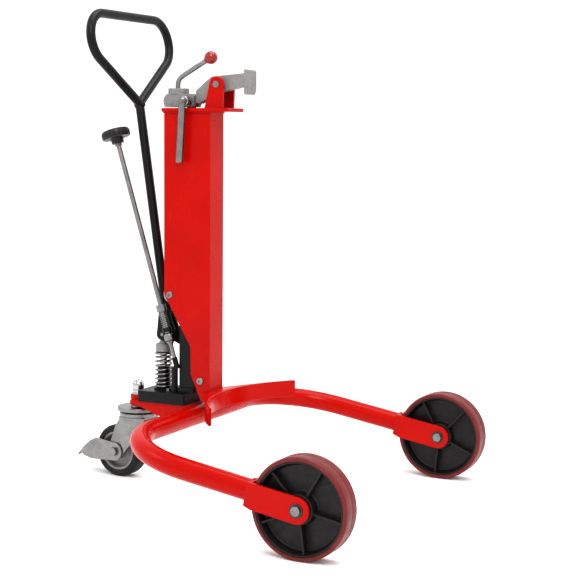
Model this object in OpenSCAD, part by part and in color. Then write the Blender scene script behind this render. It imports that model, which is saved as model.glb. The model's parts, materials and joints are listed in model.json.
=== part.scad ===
// Hydraulic drum truck: a bent tube chassis on two large front wheels and a braked rear caster,
// with a foot-of-mast hand pump that raises a mast, its drum saddle and its rim clamp.
// The chassis frame has its origin on the floor under the front axle, +X towards the drum.
// It leans back by mast_lean about the front axle, and is then centred over the row's origin.

/* [Chassis] */
// Distance between the centre planes of the two front wheels
wheel_track = 762; // [640:2:900]
// Distance of the mast's centre behind the front axle
mast_back = 455; // [420:5:540]
// Backward lean of the whole chassis, in degrees
mast_lean = 1.1; // [0:0.1:2]
// Slope of the tube frame, rising to the rear, in degrees
frame_slope = 9.8; // [8:0.1:11]
// Outer diameter of the frame tube
tube_d = 44; // [36:1:50]
// Wall of the frame tube
tube_wall = 3; // [2:0.5:5]
// Centreline radius of the two rear bends
bend_r = 175; // [120:5:200]
// Distance of the cross tube in front of the mast's centre
cross_ahead = 18.5; // [14:0.5:22]

/* [Front wheels] */
// Diameter of a front wheel over its tyre
wheel_d = 200; // [180:5:230]
// Width of a front wheel
wheel_w = 50; // [40:1:60]
// Thickness of the tyre
tyre_t = 8; // [6:1:20]
// Corner radius of the tyre's tread
tyre_round = 4; // [1:0.5:6]
// Thickness of the core's rim
rim_t = 5; // [4:1:14]
// Thickness of the core's web
web_t = 9; // [5:1:14]
// Outer diameter of the core's hub
hub_d = 60; // [54:1:70]
// Number of ribs on each side of the core
rib_count = 5; // [3:1:8]
// Diameter of the wheel axle
axle_d = 20; // [16:1:24]
// Outer diameter of a wheel bearing
bearing_d = 47; // [40:1:50]
// Width of a wheel bearing
bearing_w = 14; // [10:1:16]
// Thickness of the bracket's plates
bracket_t = 6; // [4:0.5:8]
// Height of the bracket's side plates
bracket_h = 52; // [44:1:60]
// Gap between a wheel and the bracket's side plates
wheel_gap = 3; // [2:0.5:6]
// Gap between a tyre and the bracket's back plate
tyre_gap = 4; // [3:0.5:10]
// Length of axle that stands out of each side plate
axle_proud = 6; // [4:0.5:10]

/* [Caster] */
// Distance of the swivel axis behind the mast's centre
caster_behind = 144; // [138:1:160]
// Diameter of the caster wheel
caster_d = 120; // [110:1:126]
// Width of the caster wheel
caster_w = 42; // [32:1:46]
// Distance from the swivel axis to the caster's axle
caster_trail = 46; // [38:1:52]
// Angle by which the stored caster is swivelled, in degrees
caster_yaw = 4.3; // [-20:0.1:20]
// Diameter of the round top plate
caster_plate_d = 96; // [86:1:100]
// Diameter of the swivel race under it
race_d = 86; // [76:1:90]
// Thickness of the fork's cheeks
cheek_t = 4; // [3:0.5:5]
// Diameter of the caster's axle
caster_axle_d = 12; // [10:1:14]
// Length of the brake pedal behind the caster's axle
pedal_reach = 104; // [92:1:115]
// Diameter of the boss that carries the caster
boss_d = 36; // [30:1:42]
// Diameter of the caster's king bolt
king_d = 16; // [12:1:18]
// Diameter of the domed nut
dome_d = 30; // [26:1:34]

/* [Pump] */
// Length of the pump block
block_l = 121; // [118:1:128]
// Width of the pump block
block_w = 88; // [80:1:100]
// Height of the pump block
block_h = 25; // [20:1:32]
// Depth of the guide post, front to back
post_l = 40; // [36:1:44]
// Width of the guide post
post_w = 44; // [36:1:45]
// Diameter of the lifting ram
ram_d = 28; // [20:1:30]
// Height by which the mast lifts
lift_stroke = 120; // [80:5:150]
// Distance of the plunger's axis behind the mast's centre
plunger_behind = 77; // [74:1:80]
// Diameter of the pump barrel
barrel_d = 28; // [22:1:30]
// Outer diameter of the plunger spring
spring_d = 40; // [36:1:44]
// Wire of the plunger spring
spring_wire = 4; // [3:0.5:4.5]
// Number of coils of the plunger spring
spring_turns = 7; // [5:1:8]
// Diameter of the plunger's cap
cap_d = 36; // [34:1:42]

/* [Pump handle] */
// Tube diameter of the pump handle
handle_d = 20; // [16:1:24]
// Backward lean of the handle's stem from the mast, in degrees
handle_tilt = 8.42; // [6:0.1:10]
// Length of the stem from the pivot's level to the loop
stem_l = 524; // [440:2:580]
// Height of the loop over the stem's end, to the bar's centre
loop_h = 194; // [160:2:220]
// Rise of the loop's lower arms, in degrees
arm_rise = 34; // [28:1:40]
// Centreline radius of the loop's corners
loop_r = 55; // [40:1:60]
// Diameter of the release knob
knob_d = 64; // [50:1:75]
// Diameter of the release rod
rod_d = 11; // [8:0.5:12]
// Backward lean of the release rod from the mast, in degrees
rod_tilt = 17.06; // [16:0.1:18.5]
// Length of the release rod from the pivot's level to the knob
rod_l = 461; // [400:2:500]

/* [Mast] */
// Depth of the mast tube, front to back
mast_l = 116; // [112:1:124]
// Width of the mast tube
mast_w = 60; // [58:1:66]
// Wall of the mast tube
mast_wall = 4; // [3:0.5:5]
// Height of the mast tube's top end over the floor
mast_top = 846; // [780:2:920]
// Thickness of the head plate
head_t = 8; // [6:0.5:12]
// Diameter of the guide rollers
roller_d = 37.4; // [36:0.1:38]
// Diameter of the guide rollers' axles
roller_axle_d = 12; // [10:1:14]
// Inner radius of the drum saddle
saddle_r = 300; // [280:2:320]
// Half of the saddle's width across the drum
saddle_half = 201; // [150:1:230]
// Height of the saddle band
saddle_h = 37; // [25:1:45]
// Thickness of the saddle band
saddle_t = 7; // [5:1:10]
// Distance from the mast's face to the drum
standoff = 22; // [18:1:30]

/* [Rim clamp] */
// Distance of the clamp's pivot in front of the mast's centre
beak_ahead = 71; // [66:1:76]
// Height of the clamp's pivot over the head plate
beak_rise = 51; // [49:1:56]
// Thickness of the beak's arm
beak_w = 24; // [18:1:30]
// Width of the beak's jaw
jaw_w = 28; // [26:1:48]
// Reach of the jaw's front face in front of the pivot
jaw_reach = 76; // [70:1:90]
// Diameter of the ball on the clamp lever
ball_d = 29; // [26:1:36]
// Diameter of the clamp lever's rod
lever_d = 11; // [8:0.5:12]
// Diameter of the hanging bar
bar_d = 16; // [12:1:18]
// Length of the hanging bar below the spindle
bar_l = 134; // [100:2:160]

/* [Fits] */
// Radial clearance of a pin or shaft that turns or slides
run = 0.05; // [0.02:0.01:0.1]
// Gap between faces that rest against each other across a joint
touch = 0.3; // [0.2:0.05:0.5]
// Gap between pieces that pass each other
pass = 1; // [0.6:0.1:1.5]

/* [Hidden] */
$fn = 56;
// A bend is this much slimmer than the straight rods that run 1 mm into its ends
slim = 0.12;

red = [0.80, 0.02, 0.01];
black = [0.12, 0.12, 0.12];
casting = [0.60, 0.59, 0.58];
zinc = [0.68, 0.69, 0.70];

// Places along the chassis, measured from the front axle (X) and the floor under it (Z)
wheel_r = wheel_d / 2;
mast_x = -mast_back;
mast_rear = mast_x - mast_l / 2;
mast_front = mast_x + mast_l / 2;
cross_x = mast_x + cross_ahead;
cross_back = -cross_x / cos(frame_slope);
cross_z = wheel_r + cross_back * sin(frame_slope);
plate_back = wheel_r + tyre_gap + bracket_t;
deck_z = cross_z + tube_d / 2 + 0.5;
deck_t = 5;
deck_w = 80;

// Caster
caster_x = mast_x - caster_behind;
caster_r = caster_d / 2;
caster_z = wheel_r + (caster_r - wheel_r - (caster_x - caster_trail) * sin(mast_lean)) / cos(mast_lean);
boss_bottom = deck_z - 16;
boss_top = deck_z + 9;
plate_top = boss_bottom - 3.5;
plate_t = 9;
race_top = plate_top - plate_t - 4;
race_h = 10;
cheek_in = caster_w / 2 + 4;
cheek_out = cheek_in + cheek_t;
pedal_t = 3;
pedal_in = cheek_out + 0.8;

// Pump
block_front = mast_x + 1;
block_x = block_front - block_l / 2;
block_top = deck_z + block_h;
post_x = mast_x - 5;
post_rear = post_x - post_l / 2;
roller_r = roller_d / 2;
roller_high_z = 442;
roller_low_z = 254;
roller_high_x = post_rear - touch - roller_r;
roller_low_x = post_x + post_l / 2 + touch + roller_r;
post_top = roller_high_z + lift_stroke + roller_r + 20;
ram_low = post_top - lift_stroke - 180;
plunger_x = mast_x - plunger_behind;
seat_z = block_top + 4;
cap_low = seat_z + 83;
cap_top = cap_low + 18;
tappet_top = cap_top + 5.5;

// Pump handle: its pivot, the roller that presses the plunger, and the release rod's line
pivot_x = post_rear - 23;
pivot_z = 346;
push_x = plunger_x + 2;
push_r = 15;
push_z = tappet_top + touch + push_r;
lug_half = 6;
cheek_gap = 0.5;
handle_cheek = 5.5;
handle_side = lug_half + cheek_gap + handle_cheek;
stem_off = 14.4;
rod_y = -25.5;
valve_x = post_rear - 8.5;
rod_foot = (pivot_z - block_top - 67) / cos(rod_tilt);
joint_r = 12;
joint_half = 9.5;

// Mast
mast_low = deck_z + 8;
head_top = mast_top + head_t;
head_rear = mast_rear - 3;
head_front = mast_front + 46;
head_w = mast_w + 14;
saddle_x = mast_front + standoff + saddle_r;
saddle_z = deck_z - 3;
saddle_angle = asin(saddle_half / saddle_r);
shelf_t = 5;
shelf_half = 150;
shelf_back = 14;

// Rim clamp
beak_x = mast_x + beak_ahead;
beak_z = head_top + beak_rise;
lug_out = 27.5;
lug_t = 6;
cam_x = mast_x - 2;
cam_z = head_top + 15;
cam_w = 40;
bar_y = -47;
lever_rise = 40.6;
lever_lean = 61;
lever_l = 95.5;

// ---- placing helpers ----

// The chassis frame: leaned about the front axle and centred over the row's origin
module chassis() {
    rear_reach = caster_trail + pedal_reach - caster_x;
    translate([(rear_reach - wheel_r) / 2, 0, wheel_r])
        rotate([0, -mast_lean, 0])
            translate([0, 0, -wheel_r])
                children();
}

// The sloping plane of the tube frame at one front wheel, side -1 right or 1 left
module on_slope(side) {
    translate([0, side * wheel_track / 2, wheel_r])
        rotate([0, frame_slope, 0])
            children();
}

// A front wheel's own frame, with the axle along Z
module on_wheel(side) {
    translate([0, side * wheel_track / 2, wheel_r])
        rotate([90, 0, 0])
            children();
}

module on_caster() {
    translate([caster_x, 0, 0])
        rotate([0, 0, -caster_yaw])
            children();
}

// The caster's axle, along Z
module on_caster_axle() {
    on_caster()
        translate([-caster_trail, 0, caster_z])
            rotate([90, 0, 0])
                children();
}

// The handle's plane: X across the truck, Y up the stem, with the stem's foot at its origin
module on_handle() {
    translate([pivot_x - stem_off, 0, pivot_z])
        rotate([0, -handle_tilt, 0])
            children();
}

// The release rod's line, along Z from the universal joint's centre
module on_rod() {
    translate([pivot_x, rod_y, pivot_z])
        rotate([0, -rod_tilt, 0])
            children();
}

// ---- shape helpers ----

module ring(r_out, r_in, h) {
    difference() {
        cylinder(r = r_out, h = h);
        translate([0, 0, -1]) cylinder(r = r_in, h = h + 2);
    }
}

// A cylinder along Y, centred on the X-Z point
module cross_pin(x, z, r, half) {
    translate([x, half, z])
        rotate([90, 0, 0])
            cylinder(r = r, h = 2 * half);
}

// A plate in the X-Z plane: its 2D outline runs from y0 to y1
module side_plate(y0, y1) {
    translate([0, y1, 0])
        rotate([90, 0, 0])
            linear_extrude(height = y1 - y0)
                children();
}

module round_square(l, w, r) {
    square([l - 2 * r, w], center = true);
    square([l, w - 2 * r], center = true);
    for (sx = [-1, 1], sy = [-1, 1])
        translate([sx * (l / 2 - r), sy * (w / 2 - r)])
            circle(r = r);
}

// Two circles and the straight sides that touch both
module link_2d(a, ra, b, rb) {
    d = norm(b - a);
    t = atan2(b[1] - a[1], b[0] - a[0]);
    s = acos((ra - rb) / d);
    translate(a) circle(r = ra);
    translate(b) circle(r = rb);
    polygon([
        a + ra * [cos(t + s), sin(t + s)],
        b + rb * [cos(t + s), sin(t + s)],
        b + rb * [cos(t - s), sin(t - s)],
        a + ra * [cos(t - s), sin(t - s)]]);
}

// A hexagon prism with its width across flats
module hex_prism(flats, h) {
    cylinder(r = flats / sqrt(3), h = h, $fn = 6);
}

// A spring made of level rings joined by a bar-free stack of coils
module coil(r, wire, turns, z0, z1) {
    pitch = (z1 - z0 - wire) / turns;
    for (i = [0 : turns])
        translate([0, 0, z0 + wire / 2 + i * pitch])
            rotate_extrude()
                translate([r - wire / 2, 0])
                    circle(r = wire / 2, $fn = 16);
}

// ---- chassis ----

// The bent tube as solid rods of diameter d; over lengthens the two open ends
module frame_path(d, over) {
    leg_front = -plate_back + over;
    leg_back = -cross_back + bend_r;
    half = wheel_track / 2;
    translate([0, 0, wheel_r])
        rotate([0, frame_slope, 0]) {
            for (s = [-1, 1]) {
                translate([leg_back, s * half, 0])
                    rotate([0, 90, 0])
                        cylinder(d = d, h = leg_front - leg_back);
                translate([leg_back, s * (half - bend_r), 0])
                    rotate([0, 0, s > 0 ? 90 : 180])
                        rotate_extrude(angle = 90)
                            translate([bend_r, 0]) circle(d = d);
            }
            translate([-cross_back, half - bend_r, 0])
                rotate([90, 0, 0])
                    cylinder(d = d, h = 2 * (half - bend_r));
        }
}

module frame_tube() {
    color(red) difference() {
        frame_path(tube_d, 0);
        frame_path(tube_d - 2 * tube_wall, 1);
    }
}

// U bracket that carries one front wheel
module wheel_bracket(side) {
    inner = wheel_w / 2 + wheel_gap;
    outer = inner + bracket_t;
    half_h = bracket_h / 2;
    color(red) on_slope(side) difference() {
        union() {
            for (s = [-1, 1])
                side_plate(s > 0 ? inner : -outer, s > 0 ? outer : -inner) {
                    circle(r = half_h);
                    polygon([
                        [-plate_back, half_h - 1], [-plate_back + 4, half_h], [0, half_h],
                        [0, -half_h], [-plate_back + 16, -half_h], [-plate_back, 4 - half_h]]);
                }
            translate([-plate_back, -inner - 1, 4 - half_h])
                cube([bracket_t, 2 * inner + 2, bracket_h - 6]);
        }
        cross_pin(0, 0, axle_d / 2 + run, outer + 1);
    }
}

// Plate that carries the pump, with folded sides that reach down to the cross tube
module deck() {
    rear = caster_x + 2;
    half = deck_w / 2;
    color(red) difference() {
        union() {
            translate([rear, -half, deck_z - deck_t]) cube([cross_x - rear, deck_w, deck_t]);
            for (s = [-1, 1])
                side_plate(s > 0 ? half - deck_t : -half, s > 0 ? half : deck_t - half)
                    polygon([
                        [rear, deck_z], [rear, deck_z - 9], [caster_x + 24, deck_z - 11],
                        [caster_x + 74, deck_z - 29], [cross_x, deck_z - 42], [cross_x, deck_z]]);
        }
        translate([0, 0, wheel_r])
            rotate([0, frame_slope, 0])
                translate([-cross_back, wheel_track / 2, 0])
                    rotate([90, 0, 0])
                        cylinder(d = tube_d + 2 * run, h = wheel_track);
        translate([caster_x, 0, deck_z - deck_t - 1])
            cylinder(d = boss_d, h = deck_t + 2);
    }
}

module caster_boss() {
    color(red) translate([caster_x, 0, boss_bottom])
        ring(boss_d / 2, king_d / 2 + run, boss_top - boss_bottom);
}

module caster_plate() {
    color(zinc) translate([caster_x, 0, plate_top - plate_t]) difference() {
        union() {
            cylinder(d = caster_plate_d, h = plate_t);
            translate([0, 0, plate_t]) cylinder(d = 34, h = boss_bottom - plate_top);
            translate([0, 0, -4 + touch]) cylinder(d = race_d - 14, h = 4 - touch);
        }
        translate([0, 0, -5]) cylinder(d = king_d, h = plate_t + 12);
    }
}

// King bolt through the caster's plate and the boss
module king_bolt() {
    foot = race_top - race_h - 2;
    color(zinc) translate([caster_x, 0, foot]) {
        cylinder(d = 26, h = 6);
        cylinder(d = king_d, h = boss_top + 16 - foot);
    }
}

// Domed nut over a hexagon and a washer
module dome_nut() {
    color(zinc) translate([caster_x, 0, boss_top]) difference() {
        union() {
            cylinder(d = dome_d + 3, h = 2.5);
            translate([0, 0, 2.5]) hex_prism(dome_d - 3, 9);
            translate([0, 0, 11]) cylinder(d = dome_d - 3, h = 9);
            translate([0, 0, 20]) intersection() {
                sphere(d = dome_d - 3);
                cylinder(d = dome_d, h = 30);
            }
        }
        translate([0, 0, -1]) cylinder(d = king_d, h = 18);
    }
}

// ---- front wheels ----

module tyre(side) {
    r_in = wheel_r - tyre_t;
    color([0.45, 0.10, 0.08]) on_wheel(side) rotate_extrude($fn = 96) {
        translate([r_in, -wheel_w / 2]) square([tyre_t - tyre_round, wheel_w]);
        translate([r_in, -wheel_w / 2 + tyre_round]) square([tyre_t, wheel_w - 2 * tyre_round]);
        for (s = [-1, 1])
            translate([wheel_r - tyre_round, s * (wheel_w / 2 - tyre_round)])
                circle(r = tyre_round, $fn = 24);
    }
}

// Cast core: rim, web, hub and ribs, bored for two bearings
module core(side) {
    rim_out = wheel_r - tyre_t;
    rim_in = rim_out - rim_t;
    half = wheel_w / 2;
    rib_h = wheel_w - 8;
    color(black) on_wheel(side) difference() {
        union() {
            rotate_extrude($fn = 96) {
                translate([0, -half]) square([hub_d / 2, wheel_w]);
                translate([hub_d / 2 - 1, -web_t / 2]) square([rim_in - hub_d / 2 + 2, web_t]);
                translate([rim_in, -half + 1]) square([rim_t, wheel_w - 2]);
            }
            for (i = [0 : rib_count - 1])
                rotate([0, 0, (side < 0 ? -12 : -25) + 360 / rib_count * i])
                    translate([hub_d / 2 - 1, -2.5, -rib_h / 2])
                        cube([rim_in - hub_d / 2 + 2, 5, rib_h]);
        }
        for (s = [-1, 1])
            translate([0, 0, s * (half - bearing_w / 2)])
                cylinder(d = bearing_d, h = bearing_w + 0.002, center = true);
        cylinder(d = bearing_d - 6, h = wheel_w + 2, center = true);
    }
}

// Two sealed ball bearings
module bearings(side) {
    r_in = axle_d / 2 + run;
    r_out = bearing_d / 2;
    color(zinc) on_wheel(side)
        for (s = [-1, 1])
            translate([0, 0, s * (wheel_w / 2 - bearing_w / 2)]) difference() {
                cylinder(r = r_out, h = bearing_w, center = true);
                cylinder(r = r_in, h = bearing_w + 2, center = true);
                translate([0, 0, s * bearing_w / 2])
                    difference() {
                        cylinder(r = r_out - 4, h = 2, center = true);
                        cylinder(r = r_in + 3, h = 3, center = true);
                    }
            }
}

// Plain axle with chamfered ends
module axle(side) {
    half = wheel_w / 2 + wheel_gap + bracket_t + axle_proud;
    r = axle_d / 2;
    color(zinc) on_wheel(side) rotate_extrude()
        polygon([[0, -half], [r - 1, -half], [r, 1 - half], [r, half - 1], [r - 1, half], [0, half]]);
}

// A ring on each side of both wheels, at distance off from the wheel's centre plane
module axle_rings(r_out, off, h) {
    for (side = [-1, 1], s = [-1, 1])
        on_wheel(side)
            translate([0, 0, s > 0 ? off : -off - h])
                ring(r_out, axle_d / 2 + run, h);
}

module axle_clips() {
    color(black) axle_rings(14, wheel_w / 2 + wheel_gap + bracket_t, 1.8);
}

module hub_washers() {
    color(zinc) axle_rings(16, wheel_w / 2 + touch, wheel_gap - 2 * touch);
}

// ---- caster ----

module caster_race() {
    color(zinc) translate([caster_x, 0, race_top - race_h]) difference() {
        union() {
            cylinder(d1 = race_d - 6, d2 = race_d, h = 3);
            translate([0, 0, 3]) cylinder(d = race_d, h = race_h - 3);
        }
        translate([0, 0, -1]) cylinder(d = 40, h = race_h + 2);
    }
}

// Pressed fork: a crown and two cheeks down to the axle
module caster_fork() {
    crown_top = race_top - race_h;
    color(zinc) difference() {
        on_caster() {
            for (s = [-1, 1])
                side_plate(s > 0 ? cheek_in : -cheek_out, s > 0 ? cheek_out : -cheek_in) {
                    translate([-caster_trail, caster_z]) circle(r = 19);
                    polygon([
                        [-34, crown_top], [34, crown_top], [33, crown_top - 8],
                        [16, caster_z + 40], [-caster_trail + 15, caster_z - 12],
                        [-caster_trail - 18.4, caster_z + 5], [-44, crown_top - 22],
                        [-34, crown_top - 8]]);
                }
            translate([-34, -cheek_out, crown_top - 4])
                cube([68, 2 * cheek_out, 4]);
        }
        translate([caster_x, 0, crown_top - 5]) cylinder(d = 30, h = 6);
        on_caster_axle() cylinder(d = caster_axle_d + 2 * run, h = 100, center = true);
    }
}

// Axle bolt with its head and nut outside the brake's flanges
module caster_axle() {
    half = pedal_in + pedal_t + 0.5;
    color(zinc) on_caster_axle() {
        cylinder(d = caster_axle_d, h = 2 * half + 6, center = true);
        for (s = [-1, 1])
            translate([0, 0, s > 0 ? half : -half - 6.5])
                hex_prism(18, 6.5);
    }
}

module caster_tyre() {
    r_in = caster_r - 15;
    round_r = 6;
    color(black) on_caster_axle() rotate_extrude($fn = 72) {
        translate([r_in, -caster_w / 2]) square([15 - round_r, caster_w]);
        translate([r_in, -caster_w / 2 + round_r]) square([15, caster_w - 2 * round_r]);
        for (s = [-1, 1])
            translate([caster_r - round_r, s * (caster_w / 2 - round_r)])
                circle(r = round_r, $fn = 24);
    }
}

module caster_hub() {
    r_out = caster_r - 15;
    half = caster_w / 2;
    color(casting) on_caster_axle() difference() {
        rotate_extrude($fn = 72) {
            translate([0, -half - 2]) square([17, caster_w + 4]);
            translate([16, -4]) square([r_out - 20, 8]);
            translate([r_out - 7, -half + 1]) square([7, caster_w - 2]);
        }
        cylinder(d = 24, h = caster_w + 6, center = true);
    }
}

module caster_bearing() {
    color(zinc) on_caster_axle() translate([0, 0, -caster_w / 2 - 2])
        ring(12, caster_axle_d / 2 + run, caster_w + 4);
}

// Brake pedal: two flanges on the axle and a forked tread plate behind the tyre
module brake_pedal() {
    tip = -caster_trail - pedal_reach;
    out = pedal_in + pedal_t;
    back = -caster_trail - caster_r - 5;
    color(zinc) on_caster() difference() {
        union() {
            for (s = [-1, 1])
                side_plate(s > 0 ? pedal_in : -out, s > 0 ? out : -pedal_in) {
                    translate([-caster_trail, caster_z]) circle(r = 21);
                    polygon([
                        [-caster_trail + 5, caster_z + 20.4], [back + 14, caster_z + 27],
                        [back - 6, caster_z + 17], [tip + 12, caster_z - 2],
                        [tip + 16, caster_z - 18], [back, caster_z - 24],
                        [-caster_trail, caster_z - 21]]);
                }
            side_plate(-out, out)
                polygon([
                    [back, caster_z + 16], [back - 6, caster_z + 17], [tip, caster_z - 16],
                    [tip + 3, caster_z - 19], [back - 3, caster_z + 12]]);
        }
        translate([tip - 1, -11, caster_z - 30]) cube([20, 22, 60]);
        cross_pin(-caster_trail, caster_z, caster_axle_d / 2 + run, 60);
    }
}

// ---- pump ----

module pump_block() {
    color(black) difference() {
        union() {
            translate([block_x, 0, deck_z])
                linear_extrude(height = block_h)
                    round_square(block_l, block_w, 4);
            translate([post_x - 6, 0, block_top])
                linear_extrude(height = 12)
                    round_square(post_l + 12, post_w + 8, 5);
            translate([plunger_x, 0, block_top]) cylinder(d = spring_d + 3, h = seat_z - block_top);
        }
        translate([post_x, 0, block_top + 2])
            linear_extrude(height = 11)
                round_square(post_l, post_w, 3);
        translate([plunger_x, 0, block_top - 10]) cylinder(d = barrel_d, h = 20);
        translate([valve_x, rod_y, block_top]) cylinder(d = 15, h = 20);
    }
}

// Hexagon plug that closes the block's filling hole
module fill_plug() {
    color(zinc) translate([plunger_x + 25, -20, block_top]) {
        cylinder(d = 13, h = 1.5);
        translate([0, 0, 1.5]) hex_prism(10, 5);
    }
}

// Fixed post that guides the mast and holds the ram's bore
module guide_post() {
    color(black) translate([post_x, 0, block_top + 2]) difference() {
        linear_extrude(height = post_top - block_top - 2)
            round_square(post_l, post_w, 3);
        translate([0, 0, ram_low - 12 - block_top])
            cylinder(d = ram_d + 2 * run, h = post_top);
    }
}

module post_gland() {
    color(zinc) translate([post_x, 0, post_top])
        ring(post_l / 2 - 2, ram_d / 2 + run, 9);
}

module pump_barrel() {
    color(black) translate([plunger_x, 0, block_top - 10]) difference() {
        cylinder(d = barrel_d, h = 62);
        translate([0, 0, 4]) cylinder(d = 16 + 2 * run, h = 60);
    }
}

module valve_post() {
    color(black) difference() {
        union() {
            translate([valve_x, rod_y, block_top]) cylinder(d = 15, h = 58);
            on_rod() translate([0, 0, -rod_foot - 14]) cylinder(r = 6.2, h = 26);
        }
        on_rod() translate([0, 0, -rod_foot]) cylinder(r = 4.5 + run, h = 30);
    }
}

// Ear on the guide post that holds the handle's pivot
module handle_lug() {
    color(black) difference() {
        union() {
            cross_pin(pivot_x, pivot_z, 11, lug_half);
            side_plate(-lug_half, lug_half)
                polygon([
                    [pivot_x, pivot_z + 10.6], [post_rear, pivot_z + 26],
                    [post_rear, pivot_z - 20], [pivot_x, pivot_z - 10.6]]);
        }
        cross_pin(pivot_x, pivot_z, 5 + run, 20);
    }
}

module handle_pin() {
    color(zinc) cross_pin(pivot_x, pivot_z, 5, handle_side);
}

module plunger() {
    color(zinc) translate([plunger_x, 0, block_top + 18])
        cylinder(d = 16, h = cap_low - block_top - 18);
}

// Cast cap over the spring, with the tappet that the roller presses
module plunger_cap() {
    color(casting) translate([plunger_x, 0, cap_low]) {
        cylinder(d = cap_d, h = 16);
        translate([0, 0, 16]) cylinder(d1 = cap_d, d2 = cap_d - 4, h = 2);
        translate([0, 0, 18]) cylinder(d = 20, h = tappet_top - cap_top);
    }
}

module plunger_spring() {
    color(zinc) translate([plunger_x, 0, 0])
        coil(spring_d / 2, spring_wire, spring_turns, seat_z, cap_low);
}

// ---- pump handle ----

// Closed loop bent from one tube, welded to the stem's end
module handle_loop() {
    bar_z = stem_l + loop_h;
    corner_z = bar_z - loop_r;
    corner_y = (corner_z - stem_l) / tan(arm_rise) - loop_r / sin(arm_rise);
    arm_l = (corner_y + loop_r * sin(arm_rise)) / cos(arm_rise);
    color(black) on_handle() difference() {
        union() {
            translate([0, corner_y + 1, bar_z]) rotate([90, 0, 0])
                cylinder(d = handle_d, h = 2 * corner_y + 2);
            for (s = [-1, 1]) {
                translate([0, s * corner_y, corner_z])
                    rotate([90, 0, 90]) mirror([s > 0 ? 0 : 1, 0, 0])
                        rotate([0, 0, arm_rise - 90])
                            rotate_extrude(angle = 180 - arm_rise)
                                translate([loop_r, 0]) circle(d = handle_d - slim);
                translate([0, 0, stem_l]) rotate([s * (arm_rise - 90), 0, 0])
                    cylinder(d = handle_d, h = arm_l + 1);
            }
            translate([0, 0, stem_l]) sphere(d = handle_d + 3);
        }
        translate([0, 0, stem_l - 60]) cylinder(d = handle_d + 4, h = 54);
    }
}

module handle_stem() {
    color(black) on_handle() translate([0, 0, 52])
        cylinder(d = handle_d, h = stem_l - 6 - 52);
}

// Two cheeks on the pivot that hold the stem and the push roller
module handle_bracket() {
    foot = [pivot_x, pivot_z];
    push = [push_x, push_z];
    stem = [pivot_x - stem_off - 60 * sin(handle_tilt), pivot_z + 60 * cos(handle_tilt)];
    color(black) difference() {
        union() {
            for (s = [-1, 1])
                side_plate(s > 0 ? lug_half + cheek_gap : -handle_side,
                           s > 0 ? handle_side : -lug_half - cheek_gap) {
                    link_2d(foot, 12, push, 13);
                    link_2d(push, 13, stem, 11);
                    link_2d(foot, 12, stem, 11);
                }
            on_handle() translate([0, 0, 40]) cylinder(d = handle_d + 6, h = 30);
            on_rod() translate([0, 0, 12.5]) difference() {
                union() {
                    cylinder(d = 22, h = 9);
                    translate([-8, 0, 0]) cube([16, -rod_y - lug_half - cheek_gap, 9]);
                }
                translate([0, 0, -1]) cylinder(d = rod_d + 2 * run, h = 11);
            }
        }
        cross_pin(pivot_x, pivot_z, 5 + run, 20);
        cross_pin(push_x, push_z, 4, 20);
        on_handle() translate([0, 0, 52]) cylinder(d = handle_d, h = 30);
    }
}

module handle_roller() {
    half = lug_half + cheek_gap - touch;
    color(zinc) {
        cross_pin(push_x, push_z, push_r, half);
        cross_pin(push_x, push_z, 4 - run, handle_side);
    }
}

// ---- release rod ----

module release_knob() {
    cap_h = 5;
    disc_h = 17;
    cap_r = (cap_h * cap_h + knob_d * knob_d / 4) / (2 * cap_h);
    color(black) on_rod() {
        translate([0, 0, rod_l - 12]) cylinder(d1 = 26, d2 = 30, h = 12);
        translate([0, 0, rod_l]) cylinder(d = knob_d, h = disc_h, $fn = 72);
        translate([0, 0, rod_l + disc_h]) intersection() {
            translate([0, 0, cap_h - cap_r]) sphere(r = cap_r, $fn = 96);
            cylinder(d = knob_d, h = cap_h + 1, $fn = 72);
        }
    }
}

// Rod with its locknut, collar and the upper half of the universal joint
module release_rod() {
    collar_z = 60;
    color(zinc) on_rod() {
        translate([0, 0, joint_half]) cylinder(d = rod_d, h = rod_l - 12 - joint_half);
        translate([0, 0, rod_l - 18]) hex_prism(15, 6);
        translate([0, 0, collar_z]) cylinder(d = 23, h = 15);
        intersection() {
            sphere(r = joint_r);
            translate([0, 0, -joint_half]) cylinder(r = 11, h = 2 * joint_half);
        }
    }
}

module rod_spring() {
    color(zinc) on_rod() coil(8, 2, 7, 21.8, 59.8);
}

// Valve rod with a cup that the universal joint turns in
module lower_rod() {
    cup = joint_r + touch;
    color(zinc) on_rod() difference() {
        union() {
            translate([0, 0, 0.5 - rod_foot]) cylinder(r = 4.5, h = rod_foot - 8.5);
            translate([0, 0, -18]) cylinder(d1 = 10, d2 = 19, h = 9);
        }
        sphere(r = cup);
    }
}

// ---- mast ----

module mast_tube() {
    half = mast_w / 2;
    color(red) difference() {
        side_plate(-half, half)
            polygon([
                [mast_rear, mast_top], [mast_front, mast_top], [mast_front, mast_low],
                [mast_front - 22, mast_low + 3], [mast_x + 10, 267], [mast_x + 8.5, 330],
                [mast_rear, roller_high_z]]);
        translate([mast_rear + mast_wall, mast_wall - half, mast_low - 10])
            cube([mast_l - 2 * mast_wall, mast_w - 2 * mast_wall, mast_top - mast_low + 11]);
        translate([mast_rear - 1, mast_wall - half, roller_high_z - 60])
            cube([mast_wall + 2, mast_w - 2 * mast_wall, 60 + roller_r + 6]);
        cross_pin(roller_high_x, roller_high_z, roller_axle_d / 2, 50);
        cross_pin(roller_low_x, roller_low_z, roller_axle_d / 2, 50);
    }
}

// Top plate, with a tongue that reaches over the drum
module head_plate() {
    color(red) {
        translate([head_rear, -head_w / 2, mast_top])
            cube([head_front - head_rear, head_w, head_t]);
    }
}

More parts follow.
